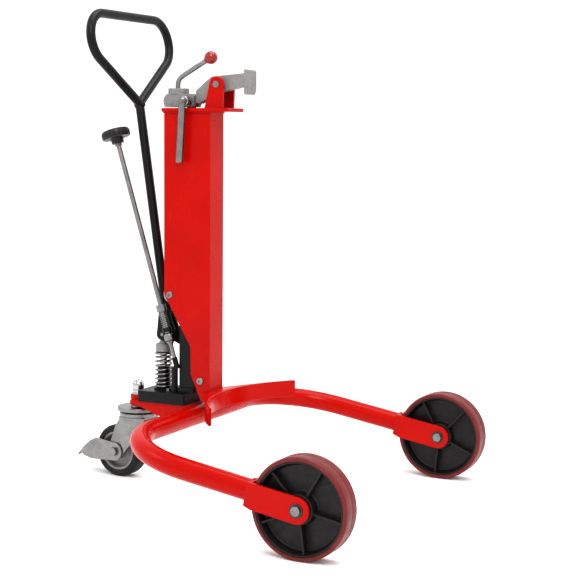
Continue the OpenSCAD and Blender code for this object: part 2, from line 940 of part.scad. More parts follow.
// Two ears for the beak's pivot and one small ear for the cam block
module clamp_lugs() {
    color(red) difference() {
        union() {
            for (s = [-1, 1])
                side_plate(s > 0 ? lug_out - lug_t : -lug_out, s > 0 ? lug_out : lug_t - lug_out) {
                    translate([beak_x, beak_z]) circle(r = 17);
                    polygon([
                        [beak_x - 29, head_top], [beak_x + 15, head_top],
                        [beak_x + 17, beak_z], [beak_x - 16.6, beak_z + 4]]);
                }
            side_plate(-5, 5)
                link_2d([cam_x, cam_z], 10, [cam_x - 4, head_top + 3], 9);
        }
        cross_pin(beak_x, beak_z, 6, 40);
        cross_pin(cam_x, cam_z, 6 + run, 40);
        translate([mast_x - 100, -40, head_top - 20]) cube([200, 80, 20]);
    }
}

module saddle_band() {
    color(red) translate([saddle_x, 0, saddle_z])
        rotate([0, 0, 180 - saddle_angle])
            rotate_extrude(angle = 2 * saddle_angle, $fn = 180)
                translate([saddle_r, 0]) square([saddle_t, saddle_h]);
}

// Level plate that joins the band to the mast's foot
module saddle_shelf() {
    top = saddle_z + saddle_h;
    join_x = saddle_x - sqrt((saddle_r + saddle_t) * (saddle_r + saddle_t) - shelf_half * shelf_half);
    color(red) {
        translate([0, 0, top - shelf_t]) difference() {
            linear_extrude(height = shelf_t)
                polygon([
                    [mast_front, -mast_w / 2], [mast_front, mast_w / 2],
                    [mast_front - shelf_back, mast_w / 2], [join_x, shelf_half], [join_x + 30, 0],
                    [join_x, -shelf_half], [mast_front - shelf_back, -mast_w / 2]]);
            translate([saddle_x, 0, -1]) cylinder(r = saddle_r + saddle_t, h = shelf_t + 2, $fn = 180);
        }
        difference() {
            for (s = [-1, 1])
                translate([mast_front, s * (mast_w / 2 - 3) - 3, mast_low])
                    cube([30, 6, top - 1 - mast_low]);
            translate([saddle_x, 0, 0]) cylinder(r = saddle_r + saddle_t, h = 400, $fn = 180);
        }
    }
}

module lift_ram() {
    color(zinc) translate([post_x, 0, ram_low])
        cylinder(d = ram_d, h = mast_top - ram_low);
}

// Headed axles of the two guide rollers
module roller_axles() {
    half = mast_w / 2;
    color(zinc)
        for (p = [[roller_high_x, roller_high_z], [roller_low_x, roller_low_z]]) {
            cross_pin(p[0], p[1], roller_axle_d / 2, half + 1);
            for (s = [-1, 1])
                side_plate(s > 0 ? half : -half - 4, s > 0 ? half + 4 : -half)
                    translate(p) circle(r = roller_axle_d / 2 + 2);
        }
}

module guide_roller(x, z) {
    half = mast_w / 2 - mast_wall - pass;
    color([0.85, 0.83, 0.78]) difference() {
        cross_pin(x, z, roller_r, half);
        cross_pin(x, z, roller_axle_d / 2 + run, half + 1);
    }
}

// ---- rim clamp ----

// Cast beak: a bent arm with a cross jaw at its nose
module beak() {
    tail = beak_x - 60;
    jaw_t = 16;
    jaw_back = beak_x + jaw_reach - jaw_t;
    color(casting) difference() {
        union() {
            side_plate(-beak_w / 2, beak_w / 2)
                polygon([
                    [tail, beak_z - 18], [tail + 2, beak_z - 12], [beak_x - 21, beak_z + 17],
                    [jaw_back + 2, beak_z + 24], [jaw_back + 2, beak_z - 3],
                    [beak_x + 12, beak_z - 14], [beak_x - 6, beak_z - 18],
                    [tail + 8, beak_z - 41], [tail, beak_z - 39]]);
            side_plate(-jaw_w / 2, jaw_w / 2)
                polygon([
                    [jaw_back, beak_z + 32], [jaw_back + jaw_t - 2, beak_z + 30],
                    [jaw_back + jaw_t, beak_z + 27], [jaw_back + jaw_t, beak_z - 12],
                    [jaw_back + jaw_t - 3, beak_z - 22], [jaw_back + 2, beak_z - 22],
                    [jaw_back, beak_z - 18]]);
        }
        cross_pin(beak_x, beak_z, 6 + run, 40);
    }
}

module beak_pin() {
    color(zinc) {
        cross_pin(beak_x, beak_z, 6, lug_out + 1);
        for (s = [-1, 1])
            side_plate(s > 0 ? lug_out : -lug_out - 3, s > 0 ? lug_out + 3 : -lug_out)
                translate([beak_x, beak_z]) circle(r = 7.5);
    }
}

// Block that turns on the spindle; its nose bears on the beak's tail
module cam_block() {
    low = head_top + 2.5;
    rear = cam_x - 64;
    color(casting) difference() {
        union() {
            side_plate(-cam_w / 2, cam_w / 2)
                polygon([
                    [rear + 3, low], [rear, cam_z + 2], [rear + 3, cam_z + 10], [rear + 9, cam_z + 16],
                    [cam_x + 8, cam_z + 16], [cam_x + 12, cam_z + 12], [cam_x + 12, cam_z - 4],
                    [cam_x + 8, low]]);
            translate([cam_x - 36, 0, cam_z + 16])
                cylinder(d = 46, h = 12);
        }
        side_plate(-5 - pass, 5 + pass)
            polygon([
                [cam_x - 18, low - 1], [cam_x - 14, cam_z + 11.5], [cam_x + 20, cam_z + 11.5],
                [cam_x + 20, low - 1]]);
        cross_pin(cam_x, cam_z, 6 + run, 40);
        translate([cam_x - 38, 0, cam_z + 8]) cylinder(d = lever_d, h = 40);
    }
}

// Rod from the cam block's collar, forged to a knuckle where it turns towards the ball
module clamp_lever() {
    color(zinc) translate([cam_x - 38, 0, cam_z + 8]) {
        cylinder(d = lever_d, h = lever_rise);
        translate([0, 0, lever_rise]) {
            sphere(d = lever_d + 1);
            rotate([0, lever_lean, 0]) cylinder(d = lever_d, h = lever_l);
        }
    }
}

module ball_knob() {
    color([0.75, 0.2, 0.14])
        translate([cam_x - 38, 0, cam_z + 8 + lever_rise]) rotate([0, lever_lean, 0])
            translate([0, 0, lever_l - 1]) difference() {
                sphere(d = ball_d, $fn = 64);
                translate([0, 0, -ball_d]) cylinder(d = lever_d, h = ball_d + 1);
            }
}

// Cross spindle that the cam block turns on, with its nut and eye end
module lock_spindle() {
    color(zinc) {
        translate([cam_x, cam_w / 2 + 6, cam_z]) rotate([90, 0, 0])
            cylinder(d = 12, h = cam_w / 2 + 6 - bar_y + 7);
        side_plate(-cam_w / 2 - 2 - touch, -cam_w / 2 - touch) translate([cam_x, cam_z]) circle(r = 11);
        translate([cam_x, -cam_w / 2 - 2 - touch, cam_z]) rotate([90, 0, 0]) hex_prism(18, 8);
        translate([cam_x, cam_w / 2 + 7 + touch, cam_z]) rotate([90, 0, 0]) hex_prism(18, 7);
    }
}

// Round bar that hangs from the spindle's end
module lock_bar() {
    color(zinc) translate([cam_x, bar_y, cam_z]) rotate([0, 3.3, 0]) difference() {
        union() {
            translate([0, 0, -bar_l]) cylinder(d = bar_d, h = bar_l);
            sphere(d = bar_d + 1);
        }
        rotate([90, 0, 0]) cylinder(r = 6 + run, h = 40, center = true);
    }
}

chassis() frame_tube();
chassis() wheel_bracket(-1);  // bracket_right
chassis() wheel_bracket(1);  // bracket_left
chassis() deck();
chassis() caster_boss();
chassis() caster_plate();
chassis() king_bolt();
chassis() dome_nut();
chassis() pump_block();
chassis() fill_plug();
chassis() guide_post();
chassis() post_gland();
chassis() pump_barrel();
chassis() valve_post();
chassis() handle_lug();
chassis() handle_pin();
chassis() axle(-1);  // axle_right
chassis() axle(1);  // axle_left
chassis() axle_clips();
chassis() hub_washers();
chassis() tyre(-1);  // tyre_right
chassis() core(-1);  // core_right
chassis() bearings(-1);  // bearings_right
chassis() tyre(1);  // tyre_left
chassis() core(1);  // core_left
chassis() bearings(1);  // bearings_left
chassis() caster_race();
chassis() caster_fork();
chassis() caster_axle();
chassis() caster_tyre();
chassis() caster_hub();
chassis() caster_bearing();
chassis() brake_pedal();
chassis() mast_tube();
chassis() head_plate();
chassis() clamp_lugs();
chassis() saddle_band();
chassis() saddle_shelf();
chassis() lift_ram();
chassis() roller_axles();
chassis() guide_roller(roller_high_x, roller_high_z);  // roller_upper
chassis() guide_roller(roller_low_x, roller_low_z);  // roller_lower
chassis() beak();
chassis() beak_pin();
chassis() cam_block();
chassis() clamp_lever();
chassis() ball_knob();
chassis() lock_spindle();
chassis() lock_bar();
chassis() handle_loop();
chassis() handle_stem();
chassis() handle_bracket();
chassis() handle_roller();
chassis() plunger();
chassis() plunger_cap();
chassis() plunger_spring();
chassis() release_knob();
chassis() release_rod();
chassis() rod_spring();
chassis() lower_rod();
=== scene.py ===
"""Looks of a hydraulic drum truck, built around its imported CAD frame.

Each sub-assembly is a class that makes its meshes in the chassis frame, which has its origin on
the floor under the front axle, +X towards the drum and +Z along the mast. The chassis leans back
by a degree or so about the front axle, so every mesh is turned into the row's frame as the last
step of its making. All sizes are in metres.
"""

import sys

import json
import logging
import math
from dataclasses import dataclass, field
from enum import Enum
from typing import Iterable, Sequence

import bmesh
import bpy
from mathutils import Matrix, Vector


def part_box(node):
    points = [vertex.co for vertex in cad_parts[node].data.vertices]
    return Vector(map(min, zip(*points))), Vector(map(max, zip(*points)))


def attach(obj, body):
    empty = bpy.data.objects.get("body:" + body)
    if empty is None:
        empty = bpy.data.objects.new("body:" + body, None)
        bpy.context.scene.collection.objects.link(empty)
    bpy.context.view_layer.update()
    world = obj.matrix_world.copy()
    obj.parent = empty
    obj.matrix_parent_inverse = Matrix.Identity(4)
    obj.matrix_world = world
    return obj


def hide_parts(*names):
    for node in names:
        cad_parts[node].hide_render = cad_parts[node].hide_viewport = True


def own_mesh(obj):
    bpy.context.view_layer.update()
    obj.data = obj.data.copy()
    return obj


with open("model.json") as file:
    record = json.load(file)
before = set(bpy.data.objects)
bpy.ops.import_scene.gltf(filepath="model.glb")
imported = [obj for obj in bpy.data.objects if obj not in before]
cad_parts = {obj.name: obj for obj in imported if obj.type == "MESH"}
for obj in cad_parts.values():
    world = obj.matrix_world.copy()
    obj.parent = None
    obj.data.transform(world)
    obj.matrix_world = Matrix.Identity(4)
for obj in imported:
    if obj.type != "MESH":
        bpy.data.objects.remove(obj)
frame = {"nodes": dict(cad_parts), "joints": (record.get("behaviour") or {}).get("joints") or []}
log = logging.getLogger("drum_truck")

Socket, Material, Object = bpy.types.NodeSocket, bpy.types.Material, bpy.types.Object
BMesh, BMVert, BMEdge = bmesh.types.BMesh, bmesh.types.BMVert, bmesh.types.BMEdge
Point = tuple[float, float, float]
Flat = tuple[float, float]

EVEN: Point = (1.0, 1.0, 1.0)
ORIGIN: Point = (0.0, 0.0, 0.0)
UP: Point = (0.0, 0.0, 1.0)
FULL_TURN = 2.0 * math.pi
QUARTER_TURN = math.pi / 2.0
BOTH_FACES = (1.0, -1.0)
MIX_UNDER, MIX_OVER, MIX_RESULT = 6, 7, 2  # the Mix node's colour sockets
EDGE_SAMPLES = 4
EASED_ANGLE = 28.0  # CAD faces that meet at more degrees than this get a rounded edge
DOUBLES = 1e-6  # vertices closer than this are one vertex
WELD_SMOOTH = COIL_SMOOTH = 60.0
WIRE_SIDES, COIL_STEPS = 10, 28  # round a spring's wire, and round one of its turns
BEND_STEPS, BEND_STEPS_PER_RADIAN = 6, 9
BEAD_SIDES = 8


# ---------------------------------------------------------------- finishes


class Shader:
    """A material's node tree with short ways to add the nodes that the finishes share."""

    def __init__(self, name: str) -> None:
        """Starts a material with a Principled shader.

        Args:
            name: The material's name.
        """
        self.material = bpy.data.materials.new(name)
        self.material.use_nodes = True
        self.tree = self.material.node_tree
        self.body = self.tree.nodes["Principled BSDF"]
        self.coords = self.tree.nodes.new("ShaderNodeTexCoord").outputs["Object"]

    def feed(self, socket: Socket, value: object) -> None:
        """Links a node's output to a socket, or sets the socket to a plain value."""
        if isinstance(value, Socket):
            self.tree.links.new(value, socket)
        else:
            socket.default_value = value

    def put(self, node: bpy.types.Node | None = None, **inputs: object) -> None:
        """Feeds inputs of a node, or of the shader, by their names with _ for a space."""
        for name, value in inputs.items():
            self.feed((node or self.body).inputs[name.replace("_", " ")], value)

    def node(self, kind: str, **inputs: object) -> bpy.types.Node:
        """Adds a node of a kind and feeds its inputs."""
        made = self.tree.nodes.new(f"ShaderNode{kind}")
        self.put(made, **inputs)
        return made

    def noise(self, scale: float, detail: float = 3.0, roughness: float = 0.55,
              stretch: Point = EVEN) -> Socket:
        """Adds a noise pattern on object coordinates.

        Args:
            scale: Cells per metre.
            detail: Number of octaves.
            roughness: Weight of the finer octaves.
            stretch: Scale along each axis, for grain that runs one way.

        Returns:
            The pattern's grey output.
        """
        source = self.coords
        if stretch != EVEN:
            source = self.node("Mapping", Scale=stretch, Vector=source).outputs["Vector"]
        return self.node("TexNoise", Scale=scale, Detail=detail, Roughness=roughness,
                         Vector=source).outputs["Fac"]

    def span(self, value: Socket, low: float, high: float,
             to_low: float = 0.0, to_high: float = 1.0) -> Socket:
        """Stretches the range low to high of a pattern to to_low to to_high, clamped."""
        return self.node("MapRange", From_Min=low, From_Max=high, To_Min=to_low,
                         To_Max=to_high, Value=value).outputs["Result"]

    def join(self, how: str, a: object, b: object) -> Socket:
        """Adds a Math node of the named kind on two values or outputs."""
        node = self.node("Math")
        node.operation = how
        for socket, value in zip(node.inputs, (a, b)):
            self.feed(socket, value)
        return node.outputs["Value"]

    def tint(self, mask: Socket, under: object, over: object) -> Socket:
        """Mixes two colours.

        Args:
            mask: 0 shows under, 1 shows over.
            under: A colour of three numbers or a colour output.
            over: The same.

        Returns:
            The mixed colour's output.
        """
        node = self.node("Mix")
        node.data_type = "RGBA"
        self.put(node, Factor=mask)
        for index, colour in ((MIX_UNDER, under), (MIX_OVER, over)):
            plain = not isinstance(colour, Socket)
            self.feed(node.inputs[index], (*colour, 1.0) if plain else colour)
        return node.outputs[MIX_RESULT]

    def relief(self, layers: Sequence[tuple[Socket, float, float]]) -> None:
        """Stacks bump layers onto the shader's normal.

        Args:
            layers: One (height, strength, distance) for each layer, coarse to fine.
        """
        normal = None
        for height, strength, distance in layers:
            node = self.node("Bump", Strength=strength, Distance=distance, Height=height)
            if normal is not None:
                self.put(node, Normal=normal)
            normal = node.outputs["Normal"]
        self.put(Normal=normal)

    def edges(self, radius: float) -> Socket:
        """Finds the outer and inner edges, where paint is rubbed thin, and where plated metal gets
        a painted highlight.

        Args:
            radius: Reach of the edge over the faces beside it.

        Returns:
            An output that is 0 on a flat face and rises at an edge.
        """
        bevel = self.node("Bevel", Radius=radius)
        bevel.samples = EDGE_SAMPLES
        dot = self.node("VectorMath")
        dot.operation = "DOT_PRODUCT"
        for socket, source in zip(dot.inputs, (bevel, self.node("NewGeometry"))):
            self.feed(socket, source.outputs["Normal"])
        return self.join("SUBTRACT", 1.0, dot.outputs["Value"])


@dataclass(frozen=True)
class PaintCoat:
    """Powder paint with orange peel, a little dust, and primer that shows at rubbed edges."""

    name: str
    colour: Point
    shade: Point
    primer: Point
    roughness: float = 0.3
    peel: float = 0.12
    wear: float = 0.55
    coat: float = 0.35
    gloss: float = 0.10

    def build(self) -> Material:
        """Returns the coat as a material."""
        s = Shader(self.name)
        cloud = s.span(s.noise(6.0, 4.0), 0.35, 0.7)
        colour = s.tint(cloud, self.colour, self.shade)
        rubbed = s.join("MULTIPLY", s.span(s.edges(0.0012), 0.06, 0.32),
                        s.span(s.noise(160.0, 5.0, 0.7), self.wear, self.wear + 0.1))
        scratch = s.span(s.noise(90.0, 2.0, 0.5, (1.0, 1.0, 0.06)), 0.74, 0.78, 0.0, 0.35)
        colour = s.tint(scratch, colour, tuple(min(1.0, c * 1.25 + 0.03) for c in self.colour))
        colour = s.tint(rubbed, colour, self.primer)
        rough = s.span(s.noise(22.0, 5.0), 0.3, 0.75, self.roughness - 0.06, self.roughness + 0.12)
        s.put(Base_Color=colour, Roughness=rough, Coat_Weight=self.coat, Coat_Roughness=0.12,
              Specular_IOR_Level=self.gloss)
        s.relief([(s.noise(26.0, 2.0), 0.05, 0.004), (s.noise(420.0, 2.0), self.peel, 0.0004)])
        return s.material


@dataclass(frozen=True)
class MetalPlate:
    """Zinc or chrome plate over steel, with a fine grain, dull patches and a painted highlight
    along its edges.
    """

    name: str
    colour: Point
    stain: Point
    roughness: float = 0.28
    grain: float = 0.12
    patch: float = 0.5
    dull: float = 0.2

    def build(self) -> Material:
        """Returns the plate as a material."""
        s = Shader(self.name)
        stains = s.span(s.noise(38.0, 6.0, 0.65), 0.42, 0.72, 0.0, self.patch)
        # painted highlight: every edge of the plate is lightened evenly, as if it caught the light
        corner = s.span(s.edges(0.001), 0.05, 0.3, 0.0, 0.5)
        colour = s.tint(stains, self.colour, self.stain)
        colour = s.tint(corner, colour, tuple(min(1.0, c * 1.15) for c in self.colour))
        rough = s.span(s.noise(60.0, 6.0, 0.7), 0.3, 0.75, self.roughness,
                       self.roughness + self.dull)
        s.put(Base_Color=colour, Metallic=1.0, Roughness=rough)
        s.relief([(s.noise(300.0, 3.0, 0.6), self.grain, 0.0003),
                  (s.noise(1500.0, 2.0), self.grain * 0.5, 0.0001)])
        return s.material


@dataclass(frozen=True)
class RoughCasting:
    """A sand-cast skin, bare or painted, with pits and brighter rubbed edges."""

    name: str
    colour: Point
    pit: Point
    bright: Point
    metallic: float = 0.6
    roughness: float = 0.5
    skin: float = 0.35
    coat: float = 0.0

    def build(self) -> Material:
        """Returns the skin as a material."""
        s = Shader(self.name)
        pits = s.span(s.noise(170.0, 6.0, 0.7), 0.5, 0.68, 0.0, 0.8)
        colour = s.tint(s.span(s.noise(14.0, 3.0), 0.35, 0.7), self.colour,
                        tuple(c * 0.82 for c in self.colour))
        colour = s.tint(pits, colour, self.pit)
        rubbed = s.join("MULTIPLY", s.span(s.edges(0.0015), 0.05, 0.3),
                        s.span(s.noise(120.0, 4.0), 0.4, 0.6))
        rough = s.span(s.noise(80.0, 4.0), 0.3, 0.7, self.roughness - 0.08, self.roughness + 0.14)
        s.put(Base_Color=s.tint(rubbed, colour, self.bright), Metallic=self.metallic,
              Roughness=rough, Specular_IOR_Level=0.3, Coat_Weight=self.coat, Coat_Roughness=0.3)
        s.relief([(s.noise(55.0, 3.0), self.skin * 0.5, 0.0018),
                  (s.noise(380.0, 5.0, 0.7), self.skin, 0.0006)])
        return s.material


@dataclass(frozen=True)
class MouldedPolymer:
    """Rubber, polyurethane or moulded plastic, with scuffs and dust in its texture."""

    name: str
    colour: Point
    dust: Point
    roughness: float = 0.5
    dusty: float = 0.35
    texture: float = 0.15
    grain: float = 500.0
    depth: float = 0.0
    coat: float = 0.0
    shine: float = 0.3

    def build(self) -> Material:
        """Returns the polymer as a material."""
        s = Shader(self.name)
        scuffs = s.span(s.noise(30.0, 7.0, 0.7), 0.5, 0.74, 0.0, self.dusty)
        shade = s.tint(s.span(s.noise(7.0, 3.0), 0.3, 0.7), self.colour,
                       tuple(c * 0.8 for c in self.colour))
        rough = s.span(s.noise(45.0, 6.0), 0.3, 0.7, self.roughness, self.roughness + 0.18)
        s.put(Base_Color=s.tint(scuffs, shade, self.dust), Roughness=rough,
              Specular_IOR_Level=self.shine, Subsurface_Weight=self.depth,
              Subsurface_Radius=(0.006, 0.002, 0.001), Coat_Weight=self.coat, Coat_Roughness=0.08)
        s.relief([(s.noise(60.0, 3.0), self.texture, 0.0008),
                  (s.noise(self.grain, 4.0, 0.6), self.texture, 0.0003)])
        return s.material


class Finish(Enum):
    """The finishes of the truck, each with the record's material slot that it belongs to."""

    RED_PAINT = ("red_paint", PaintCoat(
        "red_powder_paint", (0.43, 0.0030, 0.0), (0.37, 0.0020, 0.0), (0.22, 0.024, 0.018), 0.22,
        0.10, 0.64, 0.07))
    BLACK_PAINT = ("black_paint", PaintCoat(
        "black_enamel", (0.010, 0.010, 0.010), (0.006, 0.006, 0.007), (0.13, 0.127, 0.12), 0.34,
        0.14, 0.62, 0.05, 0.16))
    WHEEL_CORE = ("core_paint", RoughCasting(
        "black_wheel_casting", (0.0085, 0.007, 0.007), (0.004, 0.0035, 0.0035), (0.07, 0.062, 0.06),
        0.0, 0.46, 0.3, 0.06))
    TYRE = ("red_tyre", MouldedPolymer(
        "red_polyurethane", (0.150, 0.012, 0.010), (0.24, 0.07, 0.052), 0.42, 0.3, 0.1, 420.0, 0.04,
        0.08))
    RUBBER = ("black_rubber", MouldedPolymer(
        "black_caster_rubber", (0.008, 0.008, 0.008), (0.07, 0.067, 0.06), 0.55, 0.3, 0.2))
    CASTING = ("grey_casting", RoughCasting(
        "grey_casting", (0.245, 0.242, 0.238), (0.165, 0.16, 0.155), (0.42, 0.41, 0.40), 0.25, 0.46,
        0.4))
    ZINC = ("zinc_steel", MetalPlate(
        "bright_zinc", (0.25, 0.25, 0.248), (0.13, 0.127, 0.12), 0.22, 0.14, 0.7, 0.2))
    # blackened steel for the axle clips; their dark colour also paints in the contact shadow round
    # the axle ends (painted shadow)
    DARK_STEEL = ("dark_steel", MetalPlate(
        "blackened_steel", (0.06, 0.06, 0.063), (0.10, 0.085, 0.07), 0.34, 0.1, 0.5, 0.2))
    # painted reflection: the chrome's colour is darkened to stand in for the darker surroundings
    # that real chrome reflects
    CHROME = ("chrome_steel", MetalPlate(
        "polished_chrome", (0.46, 0.46, 0.465), (0.34, 0.335, 0.33), 0.08, 0.02, 0.4, 0.12))
    NYLON = ("nylon", MouldedPolymer(
        "natural_nylon", (0.42, 0.41, 0.37), (0.28, 0.26, 0.22), 0.4, 0.35, 0.08, 300.0, 0.1))
    PLASTIC = ("black_plastic", MouldedPolymer(
        "black_phenolic", (0.009, 0.009, 0.0095), (0.06, 0.06, 0.058), 0.34, 0.2, 0.06, 600.0, 0.0,
        0.1))
    BALL = ("red_ball", MouldedPolymer(
        "red_phenolic", (0.27, 0.012, 0.006), (0.29, 0.03, 0.02), 0.16, 0.06, 0.03, 300.0, 0.0,
        0.4))

    @property
    def slot(self) -> str:
        """The record's material slot."""
        return self.value[0]

    @property
    def recipe(self) -> object:
        """The finish's recipe."""
        return self.value[1]


class PaintShop:
    """Builds each finish once and puts it on pieces and on CAD nodes."""

    def __init__(self) -> None:
        """Starts with no finish built."""
        self.made: dict[Finish, Material] = {}

    def material(self, finish: Finish) -> Material:
        """Returns a finish's material, built on first use."""
        if finish not in self.made:
            self.made[finish] = finish.recipe.build()
        return self.made[finish]

    def coat(self, obj: Object, finish: Finish) -> None:
        """Puts a finish on a new object."""
        obj.data.materials.append(self.material(finish))


# ---------------------------------------------------------------- workshop


def joint(name: str) -> dict:
    """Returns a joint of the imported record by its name."""
    return next(j for j in frame["joints"] if j["name"] == name)


def shown(name: str, data: bpy.types.ID) -> Object:
    """Makes an object of a mesh, a light or a camera and links it into the scene."""
    obj = bpy.data.objects.new(name, data)
    bpy.context.scene.collection.objects.link(obj)
    return obj


def only(geometry: Iterable[object], kind: type) -> list:
    """Returns the elements of one kind from an operator's geometry."""
    return [element for element in geometry if isinstance(element, kind)]


def section(half: Sequence[Flat], crowned: bool = False) -> list[Flat]:
    """Mirrors half of a section for the lathe, and closes it.

    Args:
        half: (radius, height) points, from the bore outwards.
        crowned: True if the last point is on the plane of symmetry.

    Returns:
        The closed section.
    """
    other = [(r, -z) for r, z in reversed(half[:-1] if crowned else half)]
    return [*half, *other, half[0]]


class ChassisFrame:
    """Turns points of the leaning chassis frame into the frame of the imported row, and back."""

    def __init__(self) -> None:
        """Reads the front axle's place and the mast's lean from the joints."""
        axle = Vector(joint("wheel_right_spin")["pos_m"])
        up = Vector(joint("mast_lift")["axis"])
        lean = math.atan2(-up.x, up.z)
        self.wheel_r = axle.z
        self.matrix = (Matrix.Translation((axle.x, 0.0, axle.z)) @ Matrix.Rotation(-lean, 4, "Y")
                       @ Matrix.Translation((0.0, 0.0, -axle.z)))
        self.inverse = self.matrix.inverted()
        self.up = (self.matrix.to_3x3() @ Vector((0.0, 0.0, 1.0))).normalized()

    def local(self, point: Sequence[float]) -> Vector:
        """Returns a row point in the chassis frame."""
        return self.inverse @ Vector(point)

    def row(self, point: Sequence[float]) -> Vector:
        """Returns a chassis point in the row's frame."""
        return self.matrix @ Vector(point)


class Workshop:
    """Shapes meshes, finishes them, and hangs them on the frame's bodies."""

    def __init__(self) -> None:
        """Reads the chassis frame and opens the paint shop."""
        self.chassis = ChassisFrame()
        self.paint = PaintShop()
        self.count = 0

    # -- shapes, all in the chassis frame --

    def lathe(self, outline: Sequence[Flat], place: Matrix, steps: int = 64) -> BMesh:
        """Turns an outline about the local Z axis.

        Args:
            outline: (radius, height) points. A closed section repeats its first point.
            place: Where the local frame stands.
            steps: Number of steps round.

        Returns:
            The turned mesh.
        """
        bm = bmesh.new()
        verts = [bm.verts.new((r, 0.0, z)) for r, z in outline]
        edges = [bm.edges.new(pair) for pair in zip(verts, verts[1:])]
        bmesh.ops.spin(bm, geom=verts + edges, cent=ORIGIN, axis=UP, angle=FULL_TURN,
                       steps=steps, use_merge=True, use_duplicate=False)
        bmesh.ops.remove_doubles(bm, verts=bm.verts, dist=DOUBLES)
        bmesh.ops.recalc_face_normals(bm, faces=bm.faces)
        bm.transform(place)
        return bm

    def plate(self, outline: Sequence[Flat], thickness: float, place: Matrix,
              edge: float) -> BMesh:
        """Cuts a flat outline in the local X-Y plane and raises it along Z.

        Args:
            outline: The corners in order.
            thickness: Height along the local Z.
            place: Where the local frame stands.
            edge: Radius of the rounded edges.

        Returns:
            The solid plate.
        """
        bm = bmesh.new()
        face = bm.faces.new([bm.verts.new((x, y, 0.0)) for x, y in outline])
        raised = bmesh.ops.extrude_face_region(bm, geom=[face])["geom"]
        bmesh.ops.translate(bm, vec=(0, 0, thickness), verts=only(raised, BMVert))
        bmesh.ops.recalc_face_normals(bm, faces=bm.faces)
        self.soften(bm, edge)
        bm.transform(place)
        return bm

    def soften(self, bm: BMesh, width: float, segments: int = 2, least: float = 0.5) -> None:
        """Rounds every edge whose faces meet at more than an angle.

        Args:
            bm: The mesh.
            width: Width of the rounding.
            segments: Segments across it.
            least: The least angle, in radians.
        """
        sharp = [e for e in bm.edges if e.is_manifold and e.calc_face_angle(0.0) > least]
        bmesh.ops.bevel(bm, geom=sharp, offset=width, offset_type="OFFSET", segments=segments,
                        profile=0.5, affect="EDGES", clamp_overlap=True, material=-1)

    def ring(self, bm: BMesh, radius: float, sides: int, turn: Matrix,
             at: Sequence[float]) -> list[BMVert]:
        """Adds an open circle that is turned by a matrix and moved to a point."""
        verts = bmesh.ops.create_circle(bm, cap_ends=False, radius=radius, segments=sides)["verts"]
        bmesh.ops.rotate(bm, verts=verts, cent=ORIGIN, matrix=turn)
        bmesh.ops.translate(bm, verts=verts, vec=at)
        return verts

    def swung(self, bm: BMesh, live: list[BMEdge],
              **path: object) -> list[BMEdge]:
        """Spins a bar's last ring along an arc or a helix, and returns the new last ring."""
        ends = list({v for edge in live for v in edge.verts})
        made = bmesh.ops.spin(bm, geom=ends + live, use_duplicate=False, **path)
        return only(made["geom_last"], BMEdge)

    def capped(self, bm: BMesh,
               *loops: list[BMEdge]) -> BMesh:
        """Closes a bar's two ends, turns its faces outwards and returns it."""
        for loop in loops:
            bmesh.ops.holes_fill(bm, edges=loop, sides=0)
        bmesh.ops.recalc_face_normals(bm, faces=bm.faces)
        return bm

    def bar(self, radius: float, start: Vector, heading: Vector,
            route: Sequence[tuple], sides: int = 32) -> BMesh:
        """Draws a round bar along straight stretches and true arcs.

        Args:
            radius: The bar's radius.
            start: Centre of its first end.
            heading: Direction of its first stretch.
            route: ("go", length) for a straight stretch, or ("turn", axis, angle, radius).
            sides: Number of sides.

        Returns:
            The bar, with both ends closed.
        """
        bm = bmesh.new()
        heading = heading.normalized()
        self.ring(bm, radius, sides, Vector(UP).rotation_difference(heading).to_matrix(), start)
        at = start.copy()
        first = live = list(bm.edges)
        for step in route:
            if step[0] == "go":
                made = bmesh.ops.extrude_edge_only(bm, edges=live)["geom"]
                bmesh.ops.translate(bm, vec=heading * step[1],
                                    verts=only(made, BMVert))
                live = only(made, BMEdge)
                at = at + heading * step[1]
                continue
            axis, angle, bend = Vector(step[1]).normalized(), step[2], step[3]
            centre = at + axis.cross(heading).normalized() * bend
            live = self.swung(bm, live, cent=centre, axis=axis, angle=angle,
                              steps=max(BEND_STEPS, int(abs(angle) * BEND_STEPS_PER_RADIAN)))
            turn = Matrix.Rotation(angle, 3, axis)
            at = centre + turn @ (at - centre)
            heading = turn @ heading
        return self.capped(bm, first, live)

    def coil(self, radius: float, wire: float, turns: float, low: float, high: float,
             place: Matrix) -> BMesh:
        """Winds a compression spring with closed ground ends.

        Args:
            radius: Radius to the wire's centre.
            wire: The wire's radius.
            turns: Number of active turns.
            low: Height of the spring's foot.
            high: Height of its top.
            place: Where the local frame stands, with the spring along Z.

        Returns:
            The spring.
        """
        bm = bmesh.new()
        self.ring(bm, wire, WIRE_SIDES, Matrix.Rotation(QUARTER_TURN, 3, "X"),
                  (radius, 0.0, low + wire))
        first = live = list(bm.edges)
        pitch = (high - low - 4.0 * wire) / turns
        for count, rise in ((1.0, wire), (turns, pitch * turns), (1.0, wire)):
            steps = int(COIL_STEPS * count)
            live = self.swung(bm, live, cent=ORIGIN, axis=UP, angle=FULL_TURN * count,
                              dvec=(0, 0, rise / steps), steps=steps)
        self.capped(bm, first, live)
        bm.transform(place)
        return bm

